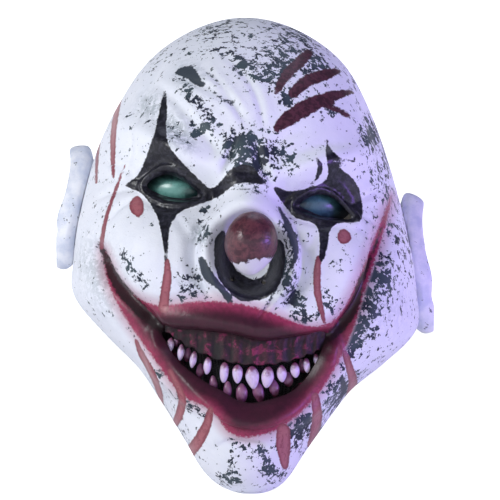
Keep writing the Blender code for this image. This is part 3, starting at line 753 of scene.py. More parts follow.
brush_edge, enter, leave = node_group(
    "Ragged brush edge", (("Place", VECTOR, None), ("Edge", FLOAT, 0.0), ("Wander", FLOAT, 0.5),
                          ("Softness", FLOAT, 0.3), ("Scale", FLOAT, 500.0)), (("Mask", FLOAT),))
wobble = noise(brush_edge, enter.outputs["Place"], enter.outputs["Scale"], 4, 0.65)
wobble = maths(brush_edge, "MULTIPLY", maths(brush_edge, "SUBTRACT", wobble, 0.5),
               maths(brush_edge, "MULTIPLY", enter.outputs["Wander"], 4.0))
reach = maths(brush_edge, "ADD", enter.outputs["Edge"], wobble)
ratio = maths(brush_edge, "DIVIDE", reach, enter.outputs["Softness"])
brush_edge.links.new(between(brush_edge, ratio, 1.0, -1.0), leave.inputs["Mask"])

sponge_marks, enter, leave = node_group(
    "Dry sponge marks", (("Place", VECTOR, None), ("Pressure", FLOAT, 0.2), ("Scale", FLOAT, 260.0)),
    (("Mask", FLOAT), ("Tone", FLOAT)))
place = enter.outputs["Place"]
coarse = noise(sponge_marks, place, enter.outputs["Scale"], 5, 0.62, 0.4)
fine = noise(sponge_marks, place, maths(sponge_marks, "MULTIPLY", enter.outputs["Scale"], 2.7), 3, 0.6)
drift = noise(sponge_marks, place, 45.0, 2, 0.5)
mixed = maths(sponge_marks, "ADD", maths(sponge_marks, "MULTIPLY", coarse, 0.68),
              maths(sponge_marks, "MULTIPLY", fine, 0.32))
pressure = maths(sponge_marks, "MULTIPLY", enter.outputs["Pressure"],
                 maths(sponge_marks, "MULTIPLY_ADD", drift, 1.5, 0.25))
limit = maths(sponge_marks, "MULTIPLY_ADD", maths(sponge_marks, "POWER", pressure, 0.6), -0.17, 0.665)
over = maths(sponge_marks, "SUBTRACT", mixed, limit)
sponge_marks.links.new(between(sponge_marks, over, -0.003, 0.006), leave.inputs["Mask"])
sponge_marks.links.new(drift, leave.inputs["Tone"])

rubber_grain, enter, leave = node_group(
    "Latex grain", (("Place", VECTOR, None), ("Depth", FLOAT, 1.0)), (("Height", FLOAT), ("Value", FLOAT)))
pores = put(rubber_grain, "ShaderNodeTexVoronoi", {"Vector": enter.outputs["Place"], "Scale": 900.0},
            feature="F1").outputs["Distance"]
slack = noise(rubber_grain, enter.outputs["Place"], 110.0, 4, 0.6)
height = maths(rubber_grain, "ADD", maths(rubber_grain, "MULTIPLY", pores, 0.05),
               maths(rubber_grain, "MULTIPLY", slack, 0.35))
rubber_grain.links.new(maths(rubber_grain, "MULTIPLY", height, enter.outputs["Depth"]),
                       leave.inputs["Height"])
rubber_grain.links.new(slack, leave.inputs["Value"])
print("node groups:", ", ".join(g.name for g in bpy.data.node_groups if g.type == "SHADER"))

# %% [markdown]
# ### Painted latex
# White latex lies under everything. On top come, in the order the painter worked: grey washes,
# sponge marks, grey strokes, the airbrushed pink round the lips, the red smile, the drips and
# gashes, and last the black. The dark brown in the smile's creases and round the mouth opening,
# most grey strokes, the black in the nostrils and the dark lining behind the paint are painted
# shade. Black and red are a little glossier than the bare rubber.

# %% Painted latex
WHITE, SHADOW_WHITE = srgb(236, 238, 246), srgb(205, 212, 230)
BLUE_BLACK, GREY_WASH = srgb(36, 42, 58), srgb(128, 142, 150)
# The near black is the eye paint, and painted shade in the nostril caves.
BLACK_PAINT_AND_SHADE, SMILE_RED, SMILE_EDGE = srgb(24, 24, 32), srgb(70, 30, 46), srgb(164, 56, 92)
# The dark brown darkens the red in patches, and is painted shade in the creases and round the mouth.
BROWN_PAINT_AND_SHADE, DRIP_RED, GASH_BROWN = srgb(34, 24, 28), srgb(168, 100, 110), srgb(88, 50, 62)


def start_material(name, roughness, specular=0.5):
    material = bpy.data.materials.new(name)
    material.use_nodes = True
    tree = material.node_tree
    shader = tree.nodes["Principled BSDF"]
    shader.inputs["Roughness"].default_value = roughness
    shader.inputs["Specular IOR Level"].default_value = specular
    place = tree.nodes.new("ShaderNodeTexCoord").outputs["Object"]
    return material, tree, shader, place


def wire(tree, shader, **sockets):
    for name, socket in sockets.items():
        tree.links.new(socket, shader.inputs[name.replace("_", " ")])


def bumped(tree, height, distance, strength=1.0):
    return put(tree, "ShaderNodeBump", {"Height": height, "Distance": distance,
                                        "Strength": strength}).outputs["Normal"]


def make_painted_latex():
    material, tree, shader, place = start_material("Painted latex", 0.5, 0.35)

    def brushed(name, wander, softness, scale=500.0, grow=0.0):
        edge = maths(tree, "SUBTRACT", number(tree, name), grow) if grow else number(tree, name)
        return use_group(tree, brush_edge, {"Place": place, "Edge": edge, "Wander": wander,
                                            "Softness": softness, "Scale": scale}).outputs["Mask"]

    grain = use_group(tree, rubber_grain, {"Place": place, "Depth": 1.0})
    marks = use_group(tree, sponge_marks, {"Place": place, "Pressure": number(tree, "sponge"),
                                           "Scale": 225.0})
    wet = noise(tree, place, 300.0, 6, 0.7, 0.6)
    smile = number(tree, "smile_edge")
    colour = blended(tree, grain.outputs["Value"], SHADOW_WHITE, WHITE)
    colour = blended(tree, 0.55, colour, WHITE)
    wash = maths(tree, "MULTIPLY", number(tree, "wash"), between(tree, wet, 0.40, 0.56), clamp=True)
    colour = blended(tree, maths(tree, "MULTIPLY", wash, 0.85), colour, GREY_WASH)
    mist = maths(tree, "MULTIPLY", between(tree, smile, 8.0, -1.0), 0.50)
    colour = blended(tree, mist, colour, SMILE_EDGE)
    inks = blended(tree, between(tree, marks.outputs["Tone"], 0.4, 0.6), BLUE_BLACK, srgb(62, 76, 84))
    off_lips = between(tree, smile, -1.0, 2.0)
    colour = blended(tree, maths(tree, "MULTIPLY", marks.outputs["Mask"], off_lips), colour, inks)
    # Grey strokes: painted shade along the folds, and one paint mark on the chin.
    strokes_and_fold_shade = brushed("stroke_and_fold_shade_edge", 0.9, 0.35, 420.0)
    colour = blended(tree, strokes_and_fold_shade, colour, srgb(58, 66, 76))

    red = blended(tree, between(tree, smile, 0.5, -9.0), SMILE_EDGE, SMILE_RED)
    red = blended(tree, between(tree, wet, 0.35, 0.65), red, blended(tree, 0.35, red, BROWN_PAINT_AND_SHADE))
    lips = brushed("smile_edge", 1.1, 0.8, 650.0)
    colour = blended(tree, lips, colour, red)
    # Painted shade: dark brown in the troughs of the smile creases.
    crease = brushed("groove_shade_edge", 1.3, 0.8, 420.0)
    colour = blended(tree, maths(tree, "MULTIPLY", crease, 0.92), colour, BROWN_PAINT_AND_SHADE)
    # Painted shade: dark brown on the lips where they roll in round the mouth opening.
    mouth = brushed("mouth_shade_edge", 0.8, 2.4, 300.0, grow=1.5)
    colour = blended(tree, maths(tree, "MULTIPLY", mouth, 0.6), colour, BROWN_PAINT_AND_SHADE)
    inner = between(tree, number(tree, "drip_edge"), -0.2, -2.2)
    drip = blended(tree, inner, srgb(132, 66, 78), DRIP_RED)
    drip = blended(tree, between(tree, wet, 0.46, 0.66), drip, srgb(138, 74, 86))
    drips = brushed("drip_edge", 0.45, 0.35, 380.0)
    colour = blended(tree, drips, colour, drip)
    gash = blended(tree, between(tree, wet, 0.44, 0.56), srgb(60, 34, 44), GASH_BROWN)
    gashes = brushed("gash_edge", 0.9, 0.4, 330.0)
    colour = blended(tree, gashes, colour, gash)
    # Last the black: paint round the eyes, and painted shade filling the nostril caves.
    black_and_shade = brushed("black_paint_and_shade_edge", 0.55, 0.3, 420.0)
    black_paint_and_shade = blended(tree, between(tree, wet, 0.42, 0.72), BLACK_PAINT_AND_SHADE, srgb(60, 60, 72))
    colour = blended(tree, black_and_shade, colour, black_paint_and_shade)
    within = number(tree, "inside")
    lining_and_shade = blended(tree, wet, srgb(176, 170, 158), srgb(206, 202, 192))
    # Painted shade: the inside is darkened behind the black and the red, so openings there show dark.
    lining_and_shade = blended(tree, maths(tree, "MAXIMUM", black_and_shade, lips), lining_and_shade, srgb(30, 26, 30))
    colour = blended(tree, within, colour, lining_and_shade)

    painted = maths(tree, "MAXIMUM", maths(tree, "MAXIMUM", lips, black_and_shade),
                    maths(tree, "MAXIMUM", drips, gashes))
    painted = maths(tree, "MULTIPLY", painted, maths(tree, "SUBTRACT", 1.0, within))
    roughness = maths(tree, "MULTIPLY_ADD", painted, -0.16, 0.52)
    roughness = maths(tree, "MULTIPLY_ADD", black_and_shade, -0.08, roughness)
    film = maths(tree, "MULTIPLY", maths(tree, "MAXIMUM", painted, marks.outputs["Mask"]), 0.12)
    height = maths(tree, "ADD", grain.outputs["Height"], film)
    wire(tree, shader, Base_Color=colour, Roughness=roughness,
         Normal=bumped(tree, height, 0.0012))
    return material


painted_latex = make_painted_latex()
latex_pieces = [skin, *flaps.values()]
for piece in latex_pieces:
    piece.data.materials.append(painted_latex)

# %% Skin rides
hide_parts("head_skin")
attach(skin, "root")
for label, side in (("left", 1), ("right", -1)):
    place, into = fold_plane(side)
    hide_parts(f"{label}_nape_flap")
    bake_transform(flaps[label])
print("skin and flaps carry", painted_latex.name)

# %% [markdown]
# ## Round pieces
# The nose, the ears and the teeth all start as one ball. A rule moves each point of the ball to
# its place on the piece, so the piece has no seams, its poles are closed and its faces look
# outwards. Each piece is then given its finish and its body, and the solid it stands for is hidden.

# %% Ball and settling helpers


def new_object(name, mesh):
    obj = bpy.data.objects.new(name, mesh)
    bpy.context.scene.collection.objects.link(obj)
    return obj


def ball(name, rule, around=48, rings=36):
    """A closed ball whose unit points are moved by a rule that takes and gives (n, 3) points."""
    bm = bmesh.new()
    bmesh.ops.create_uvsphere(bm, u_segments=around, v_segments=rings, radius=1)
    unit = np.array([v.co for v in bm.verts])
    moved = rule(unit)
    for vertex, place in zip(bm.verts, moved):
        vertex.co = place * MM
    bmesh.ops.recalc_face_normals(bm, faces=bm.faces)
    mesh = bpy.data.meshes.new(name)
    bm.to_mesh(mesh)
    bm.free()
    mesh.shade_smooth()
    return new_object(name, mesh), unit


def settle(obj, material, slot, body, *nodes):
    """Gives a piece its finish, hides the frame's solids it stands for and puts it on its body; the slot is
    not used.
    """
    if material is not None:
        obj.data.materials.clear()
        obj.data.materials.append(material)
    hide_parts(*nodes)
    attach(obj, body)
    return obj


def turned(points, tilt, spin):
    """Points tilted about Y, then turned about Z, in degrees."""
    a, b = np.radians(tilt), np.radians(spin)
    x = points[:, 0] * np.cos(a) + points[:, 2] * np.sin(a)
    z = points[:, 2] * np.cos(a) - points[:, 0] * np.sin(a)
    y = points[:, 1]
    return np.stack((x * np.cos(b) - y * np.sin(b), x * np.sin(b) + y * np.cos(b), z), -1)


# %% [markdown]
# ## Nose
# A firm ball sits in the hollow of the nose. Most of it is dark red with a torn lower edge, and
# below the edge the bare white rubber shows as a crescent.

# %% Nose ball
NOSE_CENTRE, NOSE_HALF = (3.6, 149.5), (15.8, 16.0, 19.0)


def nose_rule(unit):
    x = unit[:, 0] * NOSE_HALF[0] * (1 - 0.30 * np.clip(-unit[:, 2], 0, 1) ** 2)
    y = unit[:, 1] * NOSE_HALF[1] * (1 - 0.22 * np.clip(-unit[:, 2], 0, 1))
    z = unit[:, 2] * NOSE_HALF[2]
    x = x + 0.9 * unit[:, 2]
    dents = 0.35 * np.sin(5 * unit[:, 0] + 3 * unit[:, 2]) * np.cos(4 * unit[:, 2] - 1)
    seat = float(front_y(np.array(0.0), np.array(152.0))) - 24
    return np.stack((x + NOSE_CENTRE[0], y + seat + dents, z + NOSE_CENTRE[1]), -1) + SEAT


def make_nose_finish():
    material, tree, shader, place = start_material("Painted nose", 0.33, 0.5)
    apart = put(tree, "ShaderNodeSeparateXYZ", {0: place})
    wet = noise(tree, place, 260.0, 5, 0.65, 0.5)
    slope = maths(tree, "MULTIPLY_ADD", apart.outputs["X"], -0.16, apart.outputs["Z"])
    edge = maths(tree, "MULTIPLY", maths(tree, "SUBTRACT", (138.2 + SEAT[2]) * MM, slope), 1000.0)
    mask = use_group(tree, brush_edge, {"Place": place, "Edge": edge, "Wander": 2.6, "Softness": 0.5,
                                        "Scale": 210.0}).outputs["Mask"]
    red = blended(tree, between(tree, wet, 0.38, 0.64), srgb(66, 34, 46), srgb(104, 58, 68))
    rim = between(tree, edge, -4.0, 0.5)
    red = blended(tree, maths(tree, "MULTIPLY", rim, 0.75), red, srgb(52, 30, 40))
    colour = blended(tree, mask, srgb(214, 212, 226), red)
    grain = use_group(tree, rubber_grain, {"Place": place, "Depth": 1.4})
    height = maths(tree, "ADD", grain.outputs["Height"], maths(tree, "MULTIPLY", mask, 0.2))
    wire(tree, shader, Base_Color=colour, Normal=bumped(tree, height, 0.0012),
         Roughness=maths(tree, "MULTIPLY_ADD", mask, -0.12, 0.42))
    return material


nose, _ = ball("nose", nose_rule, 64, 48)
settle(nose, make_nose_finish(), "nose_latex", "root", "nose_bulb")
print("nose:", len(nose.data.polygons), "faces")

# %% [markdown]
# ## Ears
# The ears are plain white rubber with painted shade in their hollows, bonded to the sides. Each
# has a rolled outer rim, a long hollow between the rim and the inner ridge, a deep bowl at the ear
# hole and a heavy lobe that pulls outwards. Points that fall within the head are laid back onto its
# side, so each ear is closed.

# %% Ear shape
EAR_CENTRE, EAR_HALF = (107.0, 8.0, 148.0), (12.0, 20.5, 43.5)
EAR_LIFT = {1: 0.0, -1: 14.0}   # the right ear sits higher than the left
EAR_TILT = {1: -9.0, -1: -13.0}


def side_reach(y, z):
    """How far the plain form reaches to the side at a place along and up."""
    width, front, back, centre = section(latitude_of(z))
    reach = np.where(y < centre, front, back)
    share = np.clip(np.abs(y - centre) / reach, 0, 0.999)
    return width * (1 - share**SECTION_POWER) ** (1 / SECTION_POWER)


def ear_rule(side):
    def rule(unit):
        u, v = unit[:, 1], unit[:, 2]
        outward = unit[:, 0]
        radial = np.hypot(u, v)
        flare = 0.55 + 0.42 * v**2 + 0.30 * np.clip(-v, 0, 1)
        x = outward * EAR_HALF[0] * flare
        facing = smooth_step(-0.1, 0.35, outward)
        rim = 4.2 * bump(radial - 0.85, 0.13) * smooth_step(-0.85, -0.3, v)
        groove = -4.6 * bump(radial - 0.62, 0.12) * smooth_step(-0.45, 0.2, v)
        ridge_far = np.abs(radial - 0.40 - 0.08 * v)
        ridge = 2.8 * bump(ridge_far, 0.11) * smooth_step(-0.5, 0.3, v)
        bowl = -10.0 * bump(u + 0.22, 0.34) * bump(v + 0.02, 0.36)
        flap = 3.0 * bump(u + 0.62, 0.20) * bump(v + 0.08, 0.18)
        notch = -2.5 * bump(u + 0.30, 0.18) * bump(v + 0.52, 0.16)
        lobe = 5.0 * bump(u + 0.1, 0.6) * bump(v + 0.80, 0.17) - 2.5 * bump(v + 0.45, 0.16)
        x = x + facing * (rim + groove + ridge + bowl + flap + notch + lobe)
        x = x - 1.5 + 2.6 * bump(v - 0.92, 0.22) + 1.2 * bump(v + 0.42, 0.2)
        narrow = 1 - 0.22 * smooth_step(-0.2, -1.0, v)
        y = u * EAR_HALF[1] * narrow + 7.0 * v - 2.0 * (1 - v**2)
        z = v * (EAR_HALF[2] - (3.0 if side < 0 else 0))
        lean = math.radians(EAR_TILT[side])
        x, z = x * math.cos(lean) + z * math.sin(lean), z * math.cos(lean) - x * math.sin(lean)
        x, y, z = x + EAR_CENTRE[0], y + EAR_CENTRE[1], z + EAR_CENTRE[2] + EAR_LIFT[side]
        x = np.clip(np.maximum(x, side_reach(y, z) + 0.25), 0, 117.0)
        return leaned(side * x, y, z)
    return rule


def make_ear_finish():
    material, tree, shader, place = start_material("Ear latex", 0.5, 0.35)
    grain = use_group(tree, rubber_grain, {"Place": place, "Depth": 1.0})
    marks = use_group(tree, sponge_marks, {"Place": place, "Pressure": 0.13, "Scale": 240.0})
    wet = noise(tree, place, 90.0, 4, 0.6)
    colour = blended(tree, between(tree, wet, 0.35, 0.7), WHITE, SHADOW_WHITE)
    # Painted shade: blue-grey in the ear's bowl and groove, in patches.
    hollow_shade = maths(tree, "MULTIPLY", number(tree, "hollow_shade"), between(tree, wet, 0.25, 0.6))
    colour = blended(tree, maths(tree, "MULTIPLY", hollow_shade, 0.7), colour, srgb(120, 128, 150))
    colour = blended(tree, maths(tree, "MULTIPLY", marks.outputs["Mask"], 0.8), colour, BLUE_BLACK)
    wire(tree, shader, Base_Color=colour, Normal=bumped(tree, grain.outputs["Height"], 0.0012))
    return material


ear_finish = make_ear_finish()
for label, side in (("left", 1), ("right", -1)):
    ear, unit = ball(f"{label}_ear_cast", ear_rule(side), 96, 120)
    u, v, out = unit[:, 1], unit[:, 2], smooth_step(0, 0.4, unit[:, 0])
    # The right ear is the same rule mirrored, so its unit points still describe the same places.
    # How deep each point lies in the ear's bowl or groove, for the painted shade there.
    hollow_shade_depth = np.maximum(bump(u + 0.22, 0.34) * bump(v + 0.02, 0.36),
                      0.6 * bump(np.hypot(u, v) - 0.62, 0.12) * smooth_step(-0.4, 0.2, v))
    store_number(ear.data, "hollow_shade", hollow_shade_depth * out)
    settle(ear, ear_finish, "white_latex", "root", f"{label}_ear")
    print(f"{label} ear:", len(ear.data.polygons), "faces")

# %% [markdown]
# ## Eye lenses
# Each eye is a tinted dome glued behind the lids. The tint is pale and milky green in the middle
# and nearly black at the rim, and the surface is polished, so it holds a sharp highlight. The left
# lens is tinted darker than the right as painted shade.

# %% Lenses
LENS_HALF, EYE_AT = (20.0, 12.0), (45.0, 177.0)


def grid_quads(rows, columns):
    """Faces between neighbouring points of a grid that is stored row by row."""
    return [(r * columns + c, (r + 1) * columns + c, (r + 1) * columns + c + 1, r * columns + c + 1)
            for r in range(rows - 1) for c in range(columns - 1)]


def grid_rim(rows, columns):
    """Edges round a grid's outside, once round."""
    return ([(c, c + 1) for c in range(columns - 1)]
            + [((r + 1) * columns - 1, (r + 2) * columns - 1) for r in range(rows - 1)]
            + [(rows * columns - 1 - c, rows * columns - 2 - c) for c in range(columns - 1)]
            + [((rows - 1 - r) * columns, (rows - 2 - r) * columns) for r in range(rows - 1)])


def plate(name, front, back, quads, rim):
    """A closed plate between two sheets of matching points, given in millimetres."""
    count = len(front)
    faces = list(quads) + [tuple(i + count for i in reversed(q)) for q in quads]
    faces += [(q, p, p + count, q + count) for p, q in rim]
    mesh = bpy.data.meshes.new(name)
    mesh.from_pydata(np.vstack((front, back)) * MM, [], faces)
    bm = bmesh.new()
    bm.from_mesh(mesh)
    bmesh.ops.recalc_face_normals(bm, faces=bm.faces)
    bm.to_mesh(mesh)
    bm.free()
    mesh.shade_smooth()
    return new_object(name, mesh)


def disc_points(rings, spokes):
    """Points of a flat unit disc and its faces, from the middle outwards."""
    radius = np.linspace(0, 1, rings + 1)[1:]
    angle = np.linspace(0, 2 * np.pi, spokes, endpoint=False)
    flat = [(0.0, 0.0)] + [(r * math.cos(a), r * math.sin(a)) for r in radius for a in angle]
    faces = [(0, 1 + k, 1 + (k + 1) % spokes) for k in range(spokes)]
    for ring in range(rings - 1):
        start = 1 + ring * spokes
        for k in range(spokes):
            n = (k + 1) % spokes
            faces.append((start + k, start + spokes + k, start + spokes + n, start + n))
    return np.array(flat), faces


def closed_sheet(name, front, faces, thickness, edge):
    """A closed plate from its front points, with the back a thickness further along +Y."""
    return plate(name, front, front + np.array((0, thickness, 0)), faces, edge)


def make_lens_finish(name, milk, rim):
    material, tree, shader, place = start_material(name, 0.3, 0.4)
    radius = number(tree, "radius")
    cloud = noise(tree, place, 150.0, 4, 0.6, 0.8)
    streak = noise(tree, place, 420.0, 3, 0.7)
    wander = maths(tree, "MULTIPLY_ADD", maths(tree, "SUBTRACT", cloud, 0.5), 0.7, radius)
    colour = blended(tree, between(tree, wander, 0.15, 0.80), milk, rim)
    colour = blended(tree, maths(tree, "MULTIPLY", between(tree, streak, 0.5, 0.7), 0.25), colour, rim)
    wire(tree, shader, Base_Color=colour)
    shader.inputs["Coat Weight"].default_value = 0.25
    shader.inputs["Coat Roughness"].default_value = 0.15
    return material


# Painted light and shade: the right lens is tinted paler, as lit, and the left darker, as shaded.
lit_and_shaded_lens_tints = {"right": (srgb(104, 160, 152), srgb(20, 44, 46)),
              "left": (srgb(74, 118, 128), srgb(18, 30, 44))}
flat, disc_faces = disc_points(16, 56)
for label, side in (("left", 1), ("right", -1)):
    r = np.hypot(flat[:, 0], flat[:, 1])
    dome = 7 * (1 - r**2)
    at = leaned(np.array(side * EYE_AT[0]), np.array(0.0), np.array(EYE_AT[1]))
    seat = float(front_y(np.array(EYE_AT[0]), np.array(EYE_AT[1]))) + 18.5
    front = np.stack((flat[:, 0] * LENS_HALF[0] + at[0],
                      0.35 * side * flat[:, 0] * LENS_HALF[0] - dome + seat + SEAT[1],
                      flat[:, 1] * LENS_HALF[1] + at[2]), -1)
    last = len(flat) - 56
    rim = [(last + k, last + (k + 1) % 56) for k in range(56)]
    lens = closed_sheet(f"{label}_lens", front, disc_faces, 1.2, rim)
    store_number(lens.data, "radius", np.concatenate((r, r)))
    settle(lens, make_lens_finish(f"Tinted lens with painted light and shade {label}", *lit_and_shaded_lens_tints[label]), "green_lens", "root",
           f"{label}_eye_lens")
print("lens half size:", LENS_HALF, "mm")

# %% [markdown]
# ## Teeth
# Both rows are separate almond pegs, each turned a little on its own, and larger towards the
# middle. The lower row bites behind the upper one. The upper teeth are a cold ivory and the lower
# ones are stained pink, most at the root.

# %% Tooth rows
# Across, width, height and tilt in degrees.
UPPER_TEETH = (
    (-45, 5.5, 9.5, 10), (-38.5, 5, 10, 8), (-31, 5, 10.5, 12), (-22.5, 6, 10.5, 6),
    (-12.5, 7, 12.5, 4), (-4.5, 7.5, 11.5, 0), (4.5, 9.5, 14, -6), (13.5, 9, 13, 7),
    (22, 7, 10.5, -4), (30, 7, 9.5, -6), (37, 5.5, 9, -8), (43, 4.5, 8, -10),
)
LOWER_TEETH = (
    (-41, 4.5, 7, 8), (-34.5, 6, 8.5, 10), (-27, 5.5, 9, 4), (-19, 6, 9, -6),
    (-10.5, 6.5, 11, 2), (-2, 8.5, 12.5, 0), (8, 8, 14, -14), (17.5, 7.5, 11, -8),
    (26, 7, 9.5, -6), (34.5, 6, 9, -12),
)
SLENDER = 0.84                  # the pegs' waists, as a share of the space each one has
GUM_DEPTH, GUM_THICK, LOWER_GUM_DEPTH, TOOTH_THICK, GAP = 4.5, 4.5, 11.0, 5.0, 0.4
MOUTH_HALF, MOUTH_TOP, MOUTH_CORNER, MOUTH_BOTTOM = 50.0, 93.0, 95.0, 53.0


def mouth_low(x):
    return MOUTH_BOTTOM + (MOUTH_CORNER - MOUTH_BOTTOM) * np.minimum(np.abs(x) / MOUTH_HALF, 1) ** 2.2


def mouth_high(x):
    return MOUTH_TOP + (MOUTH_CORNER - MOUTH_TOP) * np.minimum(np.abs(x) / MOUTH_HALF, 1) ** 2


def upper_root_line(x):
    return 77 + 14 * (np.abs(x) / 46) ** 2


def lower_root_line(x):
    return mouth_low(x) - 1


def tooth_rule(x, width, height, tilt, root, points_up, depth, seed):
    def rule(unit):
        tip = (unit[:, 2] + 1) / 2 if points_up else (1 - unit[:, 2]) / 2
        taper = 0.78 + 0.22 * np.sin(np.pi * np.minimum(1, 0.25 + 0.75 * tip))
        wave = 0.05 * np.sin(3 * unit[:, 2] + seed) + 0.03 * np.cos(7 * unit[:, 0] + 2 * seed)
        px = unit[:, 0] * width / 2 * SLENDER * taper * (1 + wave)
        py = unit[:, 1] * TOOTH_THICK / 2 * taper * (1 + 0.5 * wave)
        pz = unit[:, 2] * height / 2
        spin = math.degrees(math.atan2(x, 100)) * 0.8
        out = turned(np.stack((px, py, pz), -1), tilt, spin)
        z = root + (height / 2 + GAP) * (1 if points_up else -1)
        at = leaned(np.array(float(x)), np.array(0.0), np.array(float(z)))
        at[1] += float(front_y(np.array(float(x)), np.array(float(z)), depth + GUM_THICK / 2))
        return out + at
    return rule


def make_enamel(name, tip_colour, root_colour):
    material, tree, shader, place = start_material(name, 0.2, 0.6)
    tip = number(tree, "tip")
    streak = noise(tree, put(tree, "ShaderNodeMapping", {"Vector": place, "Scale": (1, 1, 0.25)}
                             ).outputs["Vector"], 900.0, 3, 0.6)
    stain = noise(tree, place, 260.0, 4, 0.65)
    share = maths(tree, "MULTIPLY_ADD", maths(tree, "SUBTRACT", stain, 0.5), 0.9, tip)
    colour = blended(tree, between(tree, share, 0.05, 0.55), root_colour, tip_colour)
    colour = blended(tree, maths(tree, "MULTIPLY", between(tree, streak, 0.5, 0.75), 0.25),
                     colour, root_colour)
    height = maths(tree, "ADD", maths(tree, "MULTIPLY", streak, 0.3), maths(tree, "MULTIPLY", stain, 0.3))
    wire(tree, shader, Base_Color=colour, Normal=bumped(tree, height, 0.0006, 0.6))
    shader.inputs["Subsurface Weight"].default_value = 0.15
    shader.inputs["Subsurface Scale"].default_value = 0.002
    return material


enamels = {"upper": make_enamel("Ivory enamel", srgb(222, 204, 236), srgb(130, 78, 108)),
           "lower": make_enamel("Stained enamel", srgb(158, 104, 142), srgb(84, 38, 62))}
for row, teeth, line, depth in (("upper", UPPER_TEETH, upper_root_line, GUM_DEPTH),
                                ("lower", LOWER_TEETH, lower_root_line, LOWER_GUM_DEPTH)):
    up = row == "lower"
    for count, (x, width, height, tilt) in enumerate(teeth, 1):
        spots = line(np.array((x - width / 2, x + width / 2, x)))
        root = float(spots.max() if up else spots.min())
        label = f"{row}_tooth_{count:02d}"
        tooth, unit = ball(f"{label}_peg", tooth_rule(x, width, height, tilt, root, up, depth, count),
                           28, 22)
        tip = (unit[:, 2] + 1) / 2 if up else (1 - unit[:, 2]) / 2
        store_number(tooth.data, "tip", tip)
        settle(tooth, enamels[row], "tooth_enamel", "root", label)
print(len(UPPER_TEETH), "upper and", len(LOWER_TEETH), "lower teeth")

# %% [markdown]
# ## Gums
# A gum is a band behind the lip. Its face swells over every tooth root and sinks between the
# roots, and its edge is scalloped round the necks of the teeth. Between the necks and under the lip
# it is darkened as painted shade.

# %% Gum bands


def band_sheet(name, half, low, high, depth, thickness, columns, rows, swell=None):
    """A closed strip that follows the face a depth behind its front, with a sculpted outer face."""
    u, v = np.meshgrid(np.linspace(-1, 1, columns), np.linspace(0, 1, rows))
    x = u * half
    bottom, top = low(x), high(x)
    z = bottom + (top - bottom) * v
    y = front_y(x, z, depth)
    front = leaned(x, y - (swell(x, v) if swell else 0), z).reshape(-1, 3)
    back = leaned(x, y + thickness, z).reshape(-1, 3)
    quads = [(q[0], *q[:0:-1]) for q in grid_quads(rows, columns)]
    band = plate(name, front, back, quads, grid_rim(rows, columns))
    store_number(band.data, "band_across", np.tile(x.ravel(), 2))
    store_number(band.data, "band_up", np.tile(v.ravel(), 2))
    return band


def root_swell(teeth, points_up):
    """Swelling over each root, sinking between the roots, rising towards the teeth."""
    places = np.array([t[0] for t in teeth], float)
    widths = np.array([t[1] for t in teeth], float)

    def swell(x, v):
        near_teeth = v if points_up else 1 - v
        over = sum(bump(x - p, w * 0.42) for p, w in zip(places, widths))
        wrinkles = 0.25 * np.sin(x * 1.9 + 2 * np.sin(v * 5)) * (1 - near_teeth)
        return 1.5 * (over - 0.55) * smooth_step(0.0, 0.75, near_teeth) + wrinkles
    return swell


def scalloped(line, teeth, points_up):
    """The gum's edge along the teeth: it rises round each neck and dips between them."""
    places = [(t[0], t[1]) for t in teeth]

    def edge(x):
        over = np.clip(sum(bump(x - p, w * 0.40) for p, w in places), 0, 1)
        return line(x) + (1 - over) * (1.8 if points_up else -1.8) - (0.6 if points_up else -0.6)
    return edge


def make_gum_finish():
    material, tree, shader, place = start_material("Painted gum", 0.48, 0.35)
    wet = noise(tree, place, 170.0, 5, 0.65, 0.6)
    fine = noise(tree, place, 700.0, 4, 0.6)
    near = number(tree, "near_teeth")
    gap_shade = number(tree, "shade_between_teeth")
    colour = blended(tree, between(tree, wet, 0.36, 0.66), srgb(34, 16, 26), srgb(80, 32, 50))
    colour = blended(tree, maths(tree, "MULTIPLY", between(tree, wet, 0.54, 0.60), 0.75),
                     colour, srgb(140, 36, 84))
    # Painted shade: nearly black on the gum between the necks of the teeth.
    colour = blended(tree, maths(tree, "MULTIPLY", gap_shade, 0.95), colour, srgb(20, 14, 20))
    colour = blended(tree, maths(tree, "MULTIPLY", between(tree, fine, 0.52, 0.62), 0.5),
                     colour, srgb(32, 15, 26))
    # Painted shade: darker away from the teeth, under the lip.
    colour = blended(tree, between(tree, near, 0.42, 0.02), colour, srgb(48, 26, 40))
    height = maths(tree, "ADD", maths(tree, "MULTIPLY", wet, 0.5), maths(tree, "MULTIPLY", fine, 0.3))
    wire(tree, shader, Base_Color=colour, Normal=bumped(tree, height, 0.0015, 0.8))
    return material


gum_finish = make_gum_finish()
for row, teeth, half, low, high, depth in (
        ("upper", UPPER_TEETH, 48, scalloped(upper_root_line, UPPER_TEETH, False),
         lambda x: mouth_high(x) + 9, GUM_DEPTH),
        ("lower", LOWER_TEETH, 46, lambda x: mouth_low(x) - 9,
         scalloped(lower_root_line, LOWER_TEETH, True), LOWER_GUM_DEPTH)):
    up = row == "lower"
    gum = band_sheet(f"{row}_gum_cast", half, low, high, depth, GUM_THICK, 220, 26,
                     root_swell(teeth, up))
    across = np.array([a.value for a in gum.data.attributes["band_across"].data])
    climb = np.array([a.value for a in gum.data.attributes["band_up"].data])
    near = climb if up else 1 - climb
    over = sum(bump(across - t[0], t[1] * 0.42) for t in teeth)
    store_number(gum.data, "near_teeth", near)
    # Where the gum lies between teeth, for the painted shade there.
    store_number(gum.data, "shade_between_teeth", smooth_step(0.75, 0.2, over) * smooth_step(0.2, 0.75, near))
    settle(gum, gum_finish, "gum_latex", "root", f"{row}_gum")
    print(f"{row} gum:", len(gum.data.polygons), "faces")

